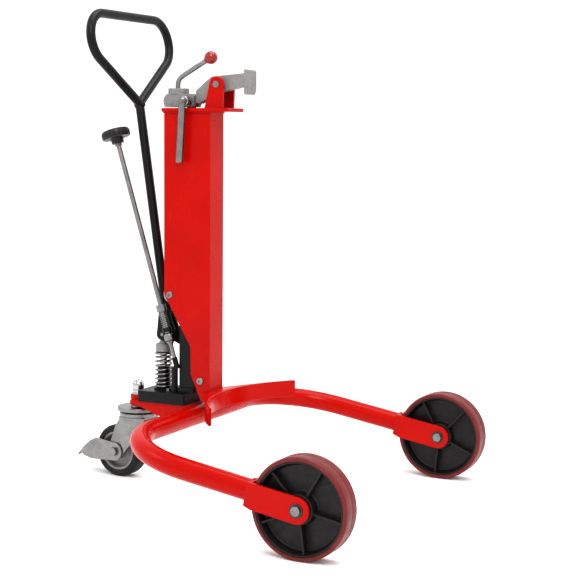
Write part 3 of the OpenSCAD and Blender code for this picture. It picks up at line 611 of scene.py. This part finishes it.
    def bead(self, points: Sequence[Vector], size: float,
             closed: bool = False) -> BMesh:
        """Lays a weld bead with ripples along a run of points.

        Args:
            points: Points along the joint, a few millimetres apart.
            size: Radius of the bead.
            closed: True if the bead ends where it starts.

        Returns:
            The bead.
        """
        bm = bmesh.new()
        run = list(points) + ([points[0]] if closed else [])
        fine: list[Vector] = []
        for a, b in zip(run, run[1:]):
            parts = max(1, round((b - a).length / (size * 0.45)))
            fine += [a.lerp(b, k / parts) for k in range(parts)]
        if not closed:
            fine.append(run[-1])
        total = len(fine)
        rings: list[list[BMVert]] = []
        for i, point in enumerate(fine):
            after = fine[(i + 1) % total] if closed else fine[min(i + 1, total - 1)]
            before = fine[(i - 1) % total] if closed else fine[max(i - 1, 0)]
            heading = (after - before).normalized()
            swell = 1.0 + 0.10 * math.sin(i * math.pi * 0.9) + 0.05 * math.sin(i * 0.37)
            if not closed and i in (0, total - 1):
                swell *= 0.55
            rings.append(self.ring(bm, size * swell, BEAD_SIDES,
                                   heading.to_track_quat("Z", "Y").to_matrix(), point))
        pairs = list(zip(rings, rings[1:])) + ([(rings[-1], rings[0])] if closed else [])
        for low, high in pairs:
            loops = [e for ring in (low, high) for e in {e for v in ring for e in v.link_edges
                     if all(w in ring for w in e.verts)}]
            bmesh.ops.bridge_loops(bm, edges=loops)
        if not closed:
            for ring in (rings[0], rings[-1]):
                bmesh.ops.contextual_create(bm, geom=ring)
        bmesh.ops.recalc_face_normals(bm, faces=bm.faces)
        return bm

    def merged(self, parts: Iterable[BMesh]) -> BMesh:
        """Joins several meshes into one and frees them."""
        whole = bmesh.new()
        for part in parts:
            carrier = bpy.data.meshes.new("carrier")
            part.to_mesh(carrier)
            part.free()
            whole.from_mesh(carrier)
            bpy.data.meshes.remove(carrier)
        return whole

    # -- pieces --

    def piece(self, name: str, bm: BMesh, finish: Finish, body: str, nodes: Sequence[str] = (),
              smooth: float = 35.0, from_cad: bool = False) -> Object:
        """Makes an object of a mesh, finishes it and hangs it on a body.

        Args:
            name: The piece's name.
            bm: Its mesh, which is freed.
            finish: Its finish.
            body: The body that it rides on.
            nodes: The CAD nodes that it stands for.
            smooth: Faces that meet at less than this many degrees are shaded as one.
            from_cad: True for a copy of a CAD node, which is in the row's frame already, and
                whose large flat faces keep flat shading.

        Returns:
            The object.
        """
        if not from_cad:
            bm.transform(self.chassis.matrix)
        mesh = bpy.data.meshes.new(name)
        bm.to_mesh(mesh)
        bm.free()
        for polygon in mesh.polygons:
            polygon.use_smooth = True
        mesh.set_sharp_from_angle(angle=math.radians(smooth))
        obj = shown(name, mesh)
        if from_cad:
            obj.modifiers.new("flat_faces", "WEIGHTED_NORMAL").keep_sharp = True
        self.paint.coat(obj, finish)
        if nodes:
            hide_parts(*nodes)
        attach(obj, body)
        self.count += 1
        log.info("%s: %d faces, %s, rides on %s", name, len(mesh.polygons), finish.name, body)
        return obj

    def eased(self, node: str, finish: Finish, body: str, width: float, segments: int) -> Object:
        """Copies a CAD node with its loose triangles joined and its hard edges rounded.

        Args:
            node: The CAD node.
            finish: Its finish.
            body: Its body.
            width: Width of the rounding.
            segments: Segments across it.

        Returns:
            The copy, which stands for the node.
        """
        bm = bmesh.new()
        bm.from_mesh(frame["nodes"][node].data)
        bmesh.ops.remove_doubles(bm, verts=bm.verts, dist=2e-6)
        bmesh.ops.dissolve_limit(bm, angle_limit=math.radians(1.0), verts=bm.verts, edges=bm.edges,
                                 use_dissolve_boundaries=False)
        bmesh.ops.dissolve_degenerate(bm, edges=bm.edges, dist=DOUBLES)
        self.soften(bm, width, segments, math.radians(EASED_ANGLE))
        return self.piece(f"{node}_eased", bm, finish, body, (node,), 32.0, True)

    def ease_set(self, body: str, finish: Finish, **widths: float) -> None:
        """Eases CAD nodes of one body in one finish, each with the width of its rounding in mm."""
        for node, width in widths.items():
            self.eased(node, finish, body, width / 1000.0, 3 if width >= 1.0 else 2)


def upright(x: float, y: float, z: float) -> Matrix:
    """Returns a local frame at a chassis point, unturned."""
    return Matrix.Translation((x, y, z))


def across(x: float, y: float, z: float) -> Matrix:
    """Returns a local frame at a chassis point with its Z axis along -Y and its Y axis along Z."""
    return upright(x, y, z) @ Matrix.Rotation(QUARTER_TURN, 4, "X")


def tilted(x: float, y: float, z: float, back: float) -> Matrix:
    """Returns a local frame at a chassis point whose Z axis leans back by an angle in radians."""
    return upright(x, y, z) @ Matrix.Rotation(-back, 4, "Y")


def arc(centre: Sequence[float], radius: float, start: float, end: float,
        steps: int) -> list[Flat]:
    """Returns points along a flat arc, with its angles in degrees."""
    turn = (end - start) / steps
    return [(centre[0] + radius * math.cos(math.radians(start + turn * i)),
             centre[1] + radius * math.sin(math.radians(start + turn * i)))
            for i in range(steps + 1)]


# ---------------------------------------------------------------- sub-assemblies


class Side(Enum):
    """The truck's two sides, seen by someone who pushes it."""

    RIGHT = -1
    LEFT = 1

    @property
    def label(self) -> str:
        """The side's name in lower case."""
        return self.name.lower()


@dataclass
class FrontWheel:
    """A cast wheel with a polyurethane tyre and its bearings; its bracket is made with the tube
    frame.
    """

    shop: Workshop
    side: Side
    track_half: float = 0.381
    tread_r: float = 0.1
    seat_r: float = 0.092
    width: float = 0.05
    shoulder: float = 0.0042
    rim_in: float = 0.087
    hub_r: float = 0.030
    web_half: float = 0.0042
    bore_r: float = 0.0235
    bearing_w: float = 0.014
    axle_r: float = 0.01005
    rib_half: float = 0.0024
    ribs: int = 5

    @property
    def rib_angle(self) -> float:
        """The first rib's angle at rest, in degrees."""
        return -25.0 if self.side is Side.LEFT else -12.0

    @property
    def place(self) -> Matrix:
        """The wheel's own frame, with its axle along Z."""
        return across(0.0, self.side.value * self.track_half, self.shop.chassis.wheel_r)

    def tyre(self) -> BMesh:
        """Turns the tyre: a flat tread, round shoulders, a moulding line and a bonded step."""
        half, r = self.width / 2, self.shoulder
        side: list[Flat] = [(self.seat_r, half), (self.seat_r + 0.0016, half)]
        side += [(self.seat_r + 0.0022, half - 0.0006), (self.tread_r - r - 0.001, half - 0.0006)]
        side += arc((self.tread_r - r, half - r), r, 84.0, 0.0, 7)
        side += [(self.tread_r, 0.0009), (self.tread_r - 0.0003, 0.0)]
        return self.shop.lathe(section(side, crowned=True), self.place, 120)

    def core(self) -> BMesh:
        """Casts the core: rim, web, hub and tapered ribs with rounded edges."""
        half = self.width / 2
        top: list[Flat] = [(self.bore_r, half - 0.0006), (self.bore_r + 0.0007, half)]
        top += [(self.hub_r - 0.002, half)] + arc((self.hub_r - 0.002, half - 0.002), 0.002, 80.0,
                                                  8.0, 3)
        top += arc((self.hub_r + 0.005, self.web_half + 0.004), 0.004, 180.0, 270.0, 4)
        top += arc((self.rim_in - 0.0065, self.web_half + 0.004), 0.004, 270.0, 352.0, 4)
        top += [(self.rim_in - 0.0004, half - 0.0035), (self.rim_in + 0.0012, half - 0.0014)]
        top += [(self.rim_in + 0.0035, half - 0.001), (self.seat_r - 0.001, half - 0.001)]
        top += [(self.seat_r - 0.0002, half - 0.0018)]
        parts = [self.shop.lathe(section(top), self.place, 96)]
        inner, outer = self.hub_r - 0.001, self.rim_in + 0.001
        for i in range(self.ribs):
            turn = Matrix.Rotation(math.radians(self.rib_angle + 360.0 / self.ribs * i), 4, "Z")
            for face in BOTH_FACES:
                lay = self.place @ turn @ Matrix.Rotation(QUARTER_TURN * face, 4, "X")
                outline = [(inner, 0.0), (outer, 0.0), (outer, half - 0.0045),
                           (outer - 0.008, half - 0.0062), (inner + 0.009, half - 0.0038),
                           (inner, half - 0.0034)]
                parts.append(self.shop.plate(
                    outline, self.rib_half * 2,
                    lay @ Matrix.Translation((0.0, 0.0, -self.rib_half)), 0.0012))
        return self.shop.merged(parts)

    def bearing_shields(self) -> BMesh:
        """Turns the two bearings, each with a race, a dished shield and an inner ring."""
        half, r0, r1 = self.width / 2, self.axle_r, self.bore_r
        parts = []
        for face in BOTH_FACES:
            outline = [(r0, half - self.bearing_w), (r0, half - 0.0004), (r0 + 0.0004, half),
                       (r0 + 0.0028, half), (r0 + 0.0031, half - 0.0009),
                       (r0 + 0.0040, half - 0.0011), (r1 - 0.0042, half - 0.0007),
                       (r1 - 0.0036, half), (r1 - 0.0006, half), (r1, half - 0.0006),
                       (r1, half - self.bearing_w), (r0, half - self.bearing_w)]
            parts.append(self.shop.lathe([(r, z * face) for r, z in outline], self.place, 64))
        return self.shop.merged(parts)

    def build(self) -> None:
        """Makes the wheel's pieces."""
        side = self.side.label
        for what, how, mesh, finish, smooth in (
                ("tyre", "moulded", self.tyre(), Finish.TYRE, 40.0),
                ("core", "cast", self.core(), Finish.WHEEL_CORE, 38.0),
                ("bearings", "shielded", self.bearing_shields(), Finish.ZINC, 30.0)):
            self.shop.piece(f"{what}_{side}_{how}", mesh, finish, f"wheel_{side}",
                            (f"{what}_{side}",), smooth)


@dataclass
class TubeFrame:
    """The bent tube, its wheel brackets and the welds that join them."""

    shop: Workshop
    tube_r: float = 0.022
    bend_r: float = 0.175
    slope: float = math.radians(9.8)
    leg_front: float = -0.110
    cross_back: float = 0.44296
    track_half: float = 0.381
    weld_off: float = 0.001
    leg_bead_r: float = 0.0028
    deck_bead_r: float = 0.0022
    deck_half: float = 0.0405
    deck_reach: float = 0.0235

    def sloped(self) -> Matrix:
        """Returns the frame of the sloping tube plane, about the front axle."""
        return (Matrix.Translation((0.0, 0.0, self.shop.chassis.wheel_r))
                @ Matrix.Rotation(self.slope, 4, "Y"))

    def tube(self) -> BMesh:
        """Bends the tube from one bracket to the other."""
        straight = ("go", self.cross_back - self.bend_r + self.leg_front)
        bend = ("turn", (0, 0, -1), QUARTER_TURN, self.bend_r)
        bm = self.shop.bar(self.tube_r, Vector((self.leg_front, -self.track_half, 0.0)),
                           Vector((-1.0, 0.0, 0.0)),
                           [straight, bend, ("go", 2.0 * (self.track_half - self.bend_r)), bend,
                            straight], 48)
        bm.transform(self.sloped())
        return bm

    def leg_weld(self, side: Side) -> BMesh:
        """Lays the weld round a leg's end on its bracket."""
        middle = side.value * self.track_half
        ring = [self.sloped() @ Vector((self.leg_front - self.weld_off, middle + y, z))
                for y, z in arc(ORIGIN, self.tube_r + self.weld_off, 0.0, 352.5, 47)]
        return self.shop.bead(ring, self.leg_bead_r, True)

    def deck_welds(self) -> BMesh:
        """Lays the welds where the pump's deck sits on the cross tube."""
        centre = self.sloped() @ Vector((-self.cross_back, 0.0, 0.0))
        run = arc((centre.x, centre.z), self.deck_reach, 98.0, 170.0, 9)
        return self.shop.merged(
            self.shop.bead([Vector((x, y, z)) for x, z in run], self.deck_bead_r)
            for y in (-self.deck_half, self.deck_half))

    def build(self) -> None:
        """Makes the frame's pieces."""
        shop = self.shop
        shop.piece("frame_tube_bent", self.tube(), Finish.RED_PAINT, "chassis", ("frame_tube",))
        for side in Side:
            label = side.label
            shop.eased(f"bracket_{label}", Finish.RED_PAINT, "chassis", 0.0012, 3)
            shop.eased(f"axle_{label}", Finish.ZINC, "chassis", 0.0004, 1)
            shop.piece(f"leg_weld_{label}", self.leg_weld(side), Finish.RED_PAINT, "chassis",
                       smooth=WELD_SMOOTH)
        # the axle clips are blackened steel, dark also as painted shadow round the axle ends
        shop.ease_set("chassis", Finish.DARK_STEEL, axle_clips=0.3)
        shop.ease_set("chassis", Finish.ZINC, hub_washers=0.4)
        shop.ease_set("chassis", Finish.RED_PAINT, deck=1.4)
        shop.piece("deck_welds", self.deck_welds(), Finish.RED_PAINT, "chassis",
                   smooth=WELD_SMOOTH)


@dataclass
class Caster:
    """The braked swivel caster, its king bolt and its domed nut."""

    shop: Workshop
    swivel_x: float = -0.599
    yaw: float = math.radians(4.3)
    wheel_r: float = 0.06
    tyre_t: float = 0.015
    half: float = 0.021
    dome_r: float = 0.0135
    washer_t: float = 0.0025
    hexagon_t: float = 0.0088

    def place(self) -> Matrix:
        """Returns the wheel's frame, with its axle along Z."""
        local = self.shop.chassis.local(joint("caster_wheel_spin")["pos_m"])
        return (Matrix.Translation(local) @ Matrix.Rotation(-self.yaw, 4, "Z")
                @ Matrix.Rotation(QUARTER_TURN, 4, "X"))

    def tyre(self) -> BMesh:
        """Turns the round-shouldered rubber tyre with a low centre crown."""
        r, edge, seat = self.wheel_r, 0.008, self.wheel_r - self.tyre_t
        side: list[Flat] = [(seat, self.half), (seat + 0.002, self.half)]
        side += arc((r - edge, self.half - edge), edge, 90.0, 12.0, 7)
        side += [(r - 0.0002, self.half * 0.3), (r, 0.0)]
        return self.shop.lathe(section(side, crowned=True), self.place(), 96)

    def hub(self) -> BMesh:
        """Turns the grey hub: a rim lip, a dished web and a raised boss."""
        seat = self.wheel_r - self.tyre_t
        top: list[Flat] = [(0.0121, self.half + 0.002), (0.016, self.half + 0.002),
                           (0.017, self.half + 0.001), (0.0178, 0.0085), (0.0205, 0.0052),
                           (0.031, 0.0042), (0.0365, 0.0062), (seat - 0.0062, self.half - 0.0045),
                           (seat - 0.0052, self.half - 0.0022), (seat - 0.001, self.half - 0.0012),
                           (seat, self.half - 0.002)]
        return self.shop.lathe(section(top), self.place(), 80)

    def dome(self) -> BMesh:
        """Turns the domed nut over its washer and chamfered hexagon."""
        base, top = (self.shop.chassis.local(corner).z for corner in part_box("dome_nut"))
        place, r, t = upright(self.swivel_x, 0.0, base), self.dome_r, self.washer_t
        washer = self.shop.lathe([(0.0085, 0.0), (0.0158, 0.0), (0.0164, 0.0006), (0.0164, 0.002),
                                  (0.0158, t), (0.0085, t), (0.0085, 0.0)], place, 56)
        hexagon = self.shop.plate(arc(ORIGIN, 2.0 * r / math.sqrt(3.0), 0.0, 300.0, 5),
                                  self.hexagon_t, place @ upright(0.0, 0.0, t), 0.0009)
        shell = [(0.0, 0.0105), (r * 0.98, 0.0105), (r, 0.0115)]
        shell += arc((0.0, top - base - r), r, 0.0, 90.0, 14)
        return self.shop.merged([washer, hexagon, self.shop.lathe(shell, place, 64)])

    def build(self) -> None:
        """Makes the caster's pieces."""
        shop = self.shop
        shop.piece("caster_tyre_moulded", self.tyre(), Finish.RUBBER, "caster_wheel",
                   ("caster_tyre",), 40.0)
        shop.piece("caster_hub_turned", self.hub(), Finish.CASTING, "caster_wheel",
                   ("caster_hub",), 32.0)
        shop.piece("dome_nut_turned", self.dome(), Finish.CHROME, "chassis", ("dome_nut",), 32.0)
        shop.ease_set("chassis", Finish.ZINC, caster_plate=1.4, king_bolt=0.5)
        shop.ease_set("chassis", Finish.RED_PAINT, caster_boss=1)
        shop.ease_set("caster_swivel", Finish.ZINC, caster_race=1, caster_fork=1.1,
                      caster_axle=0.6)
        shop.ease_set("caster_wheel", Finish.ZINC, caster_bearing=0.4)
        shop.ease_set("brake", Finish.ZINC, brake_pedal=0.8)


@dataclass
class Pump:
    """The pump block with its post, plunger, spring and valve."""

    shop: Workshop
    plunger_x: float = -0.532
    spring_r: float = 0.0176
    wire_r: float = 0.0024
    turns: float = 7.5

    def rest_span(self) -> tuple[float, float]:
        """Returns the heights of the spring's foot and top at rest."""
        chassis = self.shop.chassis
        middle = chassis.row((self.plunger_x, 0.0, 0.25))
        low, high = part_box("plunger_spring")
        tilt = chassis.up.x * self.spring_r
        return (chassis.local((middle.x, 0.0, low.z + abs(tilt))).z,
                chassis.local((middle.x, 0.0, high.z - abs(tilt))).z)

    def build(self) -> None:
        """Makes the pump's pieces."""
        shop = self.shop
        shop.ease_set("chassis", Finish.BLACK_PAINT, pump_block=1.6, guide_post=1.2,
                      pump_barrel=0.8, valve_post=0.8, handle_lug=1)
        shop.ease_set("chassis", Finish.ZINC, fill_plug=0.6, post_gland=0.8, handle_pin=0.6)
        shop.ease_set("plunger", Finish.CHROME, plunger=0.6)
        shop.ease_set("plunger", Finish.CASTING, plunger_cap=1.2)
        low, high = self.rest_span()
        spring = shop.piece(
            "plunger_spring_wound", shop.coil(self.spring_r, self.wire_r, self.turns, low, high,
                                              upright(self.plunger_x, 0.0, 0.0)),
            Finish.ZINC, "chassis", ("plunger_spring",), COIL_SMOOTH)
        foot = shop.chassis.row((self.plunger_x, 0.0, low))
        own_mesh(spring)


@dataclass
class PumpHandle:
    """The long handle with its loop, and the release rod that runs beside it."""

    shop: Workshop
    pivot: Point = (-0.503, 0.0, 0.346)
    stem_off: float = 0.0144
    lean_back: float = math.radians(8.42)
    bar_r: float = 0.01
    stem_foot: float = 0.052
    stem_l: float = 0.524
    loop_h: float = 0.194
    loop_r: float = 0.055
    rise: float = math.radians(34.0)
    rod_y: float = -0.0255
    rod_lean: float = math.radians(17.06)
    rod_l: float = 0.461
    knob_r: float = 0.032
    flutes: int = 24
    coil_r: float = 0.0082
    coil_wire_r: float = 0.0011
    coil_span: Flat = (0.0218, 0.0598)

    def stem_place(self) -> Matrix:
        """Returns the stem's frame, with its foot at the pivot's level."""
        return tilted(self.pivot[0] - self.stem_off, 0.0, self.pivot[2], self.lean_back)

    def rod_place(self) -> Matrix:
        """Returns the release rod's frame, from the universal joint."""
        return tilted(self.pivot[0], self.rod_y, self.pivot[2], self.rod_lean)

    def loop(self) -> BMesh:
        """Bends the grip loop from one bar, both ends meeting on the stem."""
        corner_z, sine, cosine = self.loop_h - self.loop_r, math.sin(self.rise), math.cos(self.rise)
        corner_y = corner_z / math.tan(self.rise) - self.loop_r / sine
        arm = ("go", (corner_y + self.loop_r * sine) / cosine)
        bend = ("turn", (1, 0, 0), math.pi - self.rise, self.loop_r)
        bm = self.shop.bar(self.bar_r, Vector((0.0, 0.0, self.stem_l)),
                           Vector((0.0, cosine, sine)),
                           [arm, bend, ("go", 2.0 * corner_y), bend, arm], 40)
        bm.transform(self.stem_place())
        return bm

    def stem(self) -> BMesh:
        """Draws the stem and rounds its head into the loop's joint."""
        r, foot, head = self.bar_r, self.stem_foot, self.stem_l
        return self.shop.lathe([(0.0, foot), (r, foot), (r, head - 0.004), (r * 0.92, head + 0.001),
                                (0.0, head + 0.004)], self.stem_place(), 40)

    def joint_weld(self) -> BMesh:
        """Lays the ground weld where the loop meets the stem."""
        r = self.bar_r + 0.0006
        ring = [Vector((r * math.cos(t), r * math.sin(t),
                        self.stem_l - 0.0065 + 0.011 * abs(math.sin(t)) ** 1.4))
                for t in (math.pi * k / 20 for k in range(40))]
        return self.shop.bead([self.stem_place() @ p for p in ring], 0.0022, True)

    def knob(self) -> BMesh:
        """Turns the release knob: a hub, a waisted neck and a domed disc with a fluted rim."""
        low, rim = self.rod_l, self.knob_r - 0.0009
        outline = [(0.006, low - 0.012), (0.0128, low - 0.012), (0.0135, low - 0.0112),
                   (0.0142, low - 0.004), (0.0158, low - 0.0004), (rim - 0.0025, low),
                   (rim - 0.0007, low + 0.0005), (rim, low + 0.0018), (rim, low + 0.0158),
                   (rim - 0.0006, low + 0.0168), (rim - 0.0020, low + 0.0176)]
        crown = 0.0040
        outline += [(rim * math.cos(math.radians(a)) * 0.95,
                     low + 0.0176 + crown * math.sin(math.radians(a)))
                    for a in (14, 30, 46, 62, 78)]
        outline += [(0.0, low + 0.0176 + crown)]
        parts = [self.shop.lathe(outline, self.rod_place(), 96)]
        for i in range(self.flutes):
            turn = Matrix.Rotation(FULL_TURN / self.flutes * i, 4, "Z")
            parts.append(self.shop.lathe(
                [(0.0, -0.0066), (0.0011, -0.0062), (0.0018, -0.0048), (0.0018, 0.0048),
                 (0.0011, 0.0062), (0.0, 0.0066)],
                self.rod_place() @ turn @ upright(rim - 0.0009, 0.0, low + 0.0083), 12))
        return self.shop.merged(parts)

    def build(self) -> None:
        """Makes the handle's pieces."""
        shop = self.shop
        for name, mesh, node in (("handle_loop_bent", self.loop(), "handle_loop"),
                                 ("handle_stem_drawn", self.stem(), "handle_stem")):
            shop.piece(name, mesh, Finish.BLACK_PAINT, "pump_handle", (node,))
        shop.piece("handle_weld", self.joint_weld(), Finish.BLACK_PAINT, "pump_handle",
                   smooth=WELD_SMOOTH)
        shop.ease_set("pump_handle", Finish.BLACK_PAINT, handle_bracket=1)
        shop.ease_set("push_roller", Finish.ZINC, handle_roller=0.8)
        shop.piece("release_knob_moulded", self.knob(), Finish.PLASTIC, "release_rod",
                   ("release_knob",))
        shop.ease_set("release_rod", Finish.ZINC, release_rod=0.6)
        coil = shop.coil(self.coil_r, self.coil_wire_r, 7.5, *self.coil_span, self.rod_place())
        shop.piece("rod_spring_wound", coil, Finish.ZINC, "release_rod", ("rod_spring",),
                   COIL_SMOOTH)
        shop.ease_set("lower_rod", Finish.ZINC, lower_rod=0.5)


@dataclass
class Mast:
    """The lifting mast with its head plate, saddle, rollers and ram."""

    shop: Workshop
    centre_x: float = -0.455
    depth_half: float = 0.058
    width_half: float = 0.030
    top: float = 0.846
    weld_off: float = 0.0012
    head_bead_r: float = 0.0022
    lug_bead_r: float = 0.0019
    lug_rows: Flat = (0.0207, 0.0283)
    lug_span: Flat = (0.043, 0.085)

    def head_welds(self) -> BMesh:
        """Lays the welds between the mast's top end and the head plate."""
        x0, x1 = self.centre_x - self.depth_half, self.centre_x + self.depth_half
        off, y, z = self.weld_off, self.width_half + self.weld_off, self.top - self.weld_off
        ring = ((x0, -y), (x1, -y), (x1 + off, 0.0), (x1, y), (x0, y), (x0 - off, 0.0))
        return self.shop.bead([Vector((*at, z)) for at in ring], self.head_bead_r, True)

    def axles(self) -> BMesh:
        """Turns the two roller axles, with round socket heads against the mast's sides."""
        parts, y = [], self.width_half
        for name in ("upper_roller_spin", "lower_roller_spin"):
            at = self.shop.chassis.local(joint(name)["pos_m"])
            half = [(0.006, 0.0), (0.006, y), (0.0080, y), (0.0080, y + 0.0022),
                    (0.0072, y + 0.0032), (0.0040, y + 0.0036), (0.0034, y + 0.0034),
                    (0.0032, y + 0.0008), (0.0, y + 0.0008)]
            loop = [(r, -z) for r, z in reversed(half[1:])] + half
            parts.append(self.shop.lathe(loop, across(at.x, 0.0, at.z), 48))
        return self.shop.merged(parts)

    def lug_welds(self) -> BMesh:
        """Lays the welds at the feet of the two clamp lugs."""
        z = self.top + 0.0088
        return self.shop.merged(
            self.shop.bead([Vector((self.centre_x + x, side.value * y, z))
                            for x in self.lug_span], self.lug_bead_r)
            for side in Side for y in self.lug_rows)

    def build(self) -> None:
        """Makes the mast's pieces."""
        shop = self.shop
        shop.ease_set("mast", Finish.RED_PAINT, mast_tube=3, head_plate=1.2, clamp_lugs=1,
                      saddle_band=1.3, saddle_shelf=1)
        for name, welds in (("head_welds", self.head_welds()), ("lug_welds", self.lug_welds())):
            shop.piece(name, welds, Finish.RED_PAINT, "mast", smooth=WELD_SMOOTH)
        shop.ease_set("mast", Finish.CHROME, lift_ram=0.6)
        shop.piece("roller_axles_turned", self.axles(), Finish.ZINC, "mast", ("roller_axles",))
        shop.ease_set("upper_roller", Finish.NYLON, roller_upper=1.2)
        shop.ease_set("lower_roller", Finish.NYLON, roller_lower=1.2)


@dataclass
class RimClamp:
    """The beak, the cam block and the lever that closes them on a drum's rim."""

    shop: Workshop
    lever_r: float = 0.0055
    ball_r: float = 0.0145
    foot: Point = (-0.495, 0.0, 0.877)
    corner: float = 0.0406
    turn: float = math.radians(61.0)
    bend_r: float = 0.022
    reach: float = 0.0955
    bar_r: float = 0.008
    bar_l: float = 0.134
    bar_lean: float = math.radians(3.3)

    def lever(self) -> BMesh:
        """Bends the lever's rod from the cam block's collar to the ball."""
        cut = self.bend_r * math.tan(self.turn / 2.0)
        return self.shop.bar(self.lever_r, Vector(self.foot), Vector(UP), [
            ("go", self.corner - cut), ("turn", (0, 1, 0), self.turn, self.bend_r),
            ("go", self.reach - cut)])

    def ball_place(self) -> Matrix:
        """Returns the ball's frame, with Z along the rod's end."""
        along = Vector((math.sin(self.turn), 0.0, math.cos(self.turn)))
        at = Vector(self.foot) + Vector(UP) * self.corner + along * (self.reach - 0.001)
        return tilted(*at, -self.turn)

    def ball(self) -> BMesh:
        """Turns the ball with the small flat collar where the rod enters."""
        r = self.ball_r
        outline = [(self.lever_r, -r * 0.5), (self.lever_r, -r * 0.93),
                   (self.lever_r + 0.0022, -r * 0.93), *arc(ORIGIN, r, -62.0, 90.0, 26)]
        return self.shop.lathe(outline, self.ball_place(), 72)

    def spindle(self) -> Vector:
        """Returns the chassis point where the lock bar hangs on its spindle."""
        return self.shop.chassis.local(joint("lock_bar_turn")["pos_m"])

    def hanging_bar(self) -> BMesh:
        """Turns the hanging bar, with chamfered ends and a ball-ended eye over the spindle."""
        at, r, end = self.spindle(), self.bar_r, -self.bar_l
        bar = self.shop.lathe([(0.0, end), (r - 0.0012, end), (r, end + 0.0012), (r, -0.0105),
                               (r - 0.0006, -0.008), (r - 0.0006, 0.0),
                               *arc(ORIGIN, r + 0.0005, 0.0, 90.0, 12)],
                              tilted(*at, -self.bar_lean), 48)
        cap = self.shop.lathe([(0.0, -0.0012), (0.0058, -0.0012), (0.0058, 0.0), (0.0052, 0.0008),
                               (0.0, 0.0012)], across(at.x, at.y - 0.0085, at.z), 32)
        return self.shop.merged([bar, cap])

    def spindle_collar(self) -> BMesh:
        """Turns the bright collar between the cam block and the lock bar."""
        at = self.spindle()
        return self.shop.lathe([(0.0064, 0.0), (0.0098, 0.0), (0.0106, 0.0008), (0.0106, 0.0042),
                                (0.0098, 0.005), (0.0064, 0.005), (0.0064, 0.0)],
                               across(at.x, at.y + 0.0095, at.z), 48)

    def build(self) -> None:
        """Makes the clamp's pieces."""
        shop = self.shop
        shop.ease_set("beak", Finish.CASTING, beak=3)
        shop.ease_set("mast", Finish.ZINC, beak_pin=0.8)
        shop.ease_set("clamp_lever", Finish.CASTING, cam_block=2.8)
        shop.piece("clamp_lever_bent", self.lever(), Finish.ZINC, "clamp_lever", ("clamp_lever",))
        shop.piece("ball_knob_turned", self.ball(), Finish.BALL, "clamp_lever", ("ball_knob",))
        shop.ease_set("mast", Finish.ZINC, lock_spindle=0.8)
        shop.piece("spindle_collar", self.spindle_collar(), Finish.CHROME, "mast")
        shop.piece("lock_bar_turned", self.hanging_bar(), Finish.ZINC, "lock_bar", ("lock_bar",))


# ---------------------------------------------------------------- studio


@dataclass
class Studio:
    """A pale floor, soft lights and the camera."""

    shop: Workshop
    camera_at: Point = (1.46831, -2.84600, 0.82430)
    heading: float = math.radians(115.661)
    pitch: float = math.radians(-6.564)
    roll: float = math.radians(1.490)
    lens: float = 91.518
    middle: float = 0.45
    floor_size: float = 60.0
    lights: list[tuple[str, Point, float, float, Point]] = field(default_factory=lambda: [
        ("key_softbox", (1.2, -2.4, 3.2), 1.6, 55.0, (1.0, 0.99, 0.97)),
        ("rear_softbox", (-2.6, -1.4, 2.2), 1.4, 14.0, (0.97, 0.98, 1.0)),
        ("top_softbox", (0.3, 0.4, 3.6), 2.4, 60.0, (1.0, 1.0, 1.0))])

    def floor(self) -> None:
        """Lays the pale floor."""
        bm = bmesh.new()
        bmesh.ops.create_grid(bm, x_segments=1, y_segments=1, size=self.floor_size)
        mesh = bpy.data.meshes.new("studio_floor")
        bm.to_mesh(mesh)
        bm.free()
        obj = shown("studio_floor", mesh)
        s = Shader("pale_floor")
        colour = s.tint(s.span(s.noise(3.0, 2.0), 0.3, 0.7), (0.96, 0.96, 0.96),
                        (0.945, 0.945, 0.946))
        s.put(Base_Color=colour, Roughness=0.75, Specular_IOR_Level=0.2)
        mesh.materials.append(s.material)

    def softbox(self, name: str, at: Point, size: float, power: float, colour: Point) -> None:
        """Hangs a square area light that faces the truck's middle."""
        data = bpy.data.lights.new(name, "AREA")
        data.size, data.energy, data.color = size, power, colour
        obj = shown(name, data)
        obj.location = at
        aim = Vector(UP) * self.middle - Vector(at)
        obj.rotation_euler = aim.to_track_quat("-Z", "Y").to_euler()

    def camera(self) -> None:
        """Sets the camera up."""
        data = bpy.data.cameras.new("camera")
        data.lens, data.sensor_width = self.lens, 36.0
        data.clip_start, data.clip_end = 0.05, 60.0
        obj = shown("camera", data)
        level = Vector((math.cos(self.heading), math.sin(self.heading), 0.0))
        ahead = level * math.cos(self.pitch) + Vector(UP) * math.sin(self.pitch)
        right = level.cross(Vector(UP))
        up = right.cross(ahead)
        turned_right = right * math.cos(self.roll) + up * math.sin(self.roll)
        turned_up = up * math.cos(self.roll) - right * math.sin(self.roll)
        obj.matrix_world = Matrix.Translation(self.camera_at) @ Matrix(
            (turned_right, turned_up, -ahead)).transposed().to_4x4()
        bpy.context.scene.camera = obj

    def world(self) -> None:
        """Lights the room evenly in near white."""
        world = bpy.data.worlds.new("studio_air")
        world.use_nodes = True
        back = world.node_tree.nodes["Background"]
        back.inputs["Color"].default_value = (1.0, 1.0, 1.0, 1.0)
        back.inputs["Strength"].default_value = 1.0
        bpy.context.scene.world = world
        bpy.context.scene.view_settings.view_transform = "Standard"
        bpy.context.scene.view_settings.look = "Medium High Contrast"

    def build(self) -> None:
        """Sets up the whole studio."""
        self.floor()
        for light in self.lights:
            self.softbox(*light)
        self.camera()
        self.world()


def main() -> None:
    """Builds every sub-assembly and the studio."""
    logging.basicConfig(level=logging.INFO, format="%(name)s %(message)s", stream=sys.stdout)
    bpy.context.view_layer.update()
    shop = Workshop()
    Studio(shop).build()
    for side in Side:
        FrontWheel(shop, side).build()
    for assembly in (TubeFrame, Caster, Pump, PumpHandle, Mast, RimClamp):
        assembly(shop).build()
    log.info("%d pieces made", shop.count)


if __name__ == "__main__":
    main()
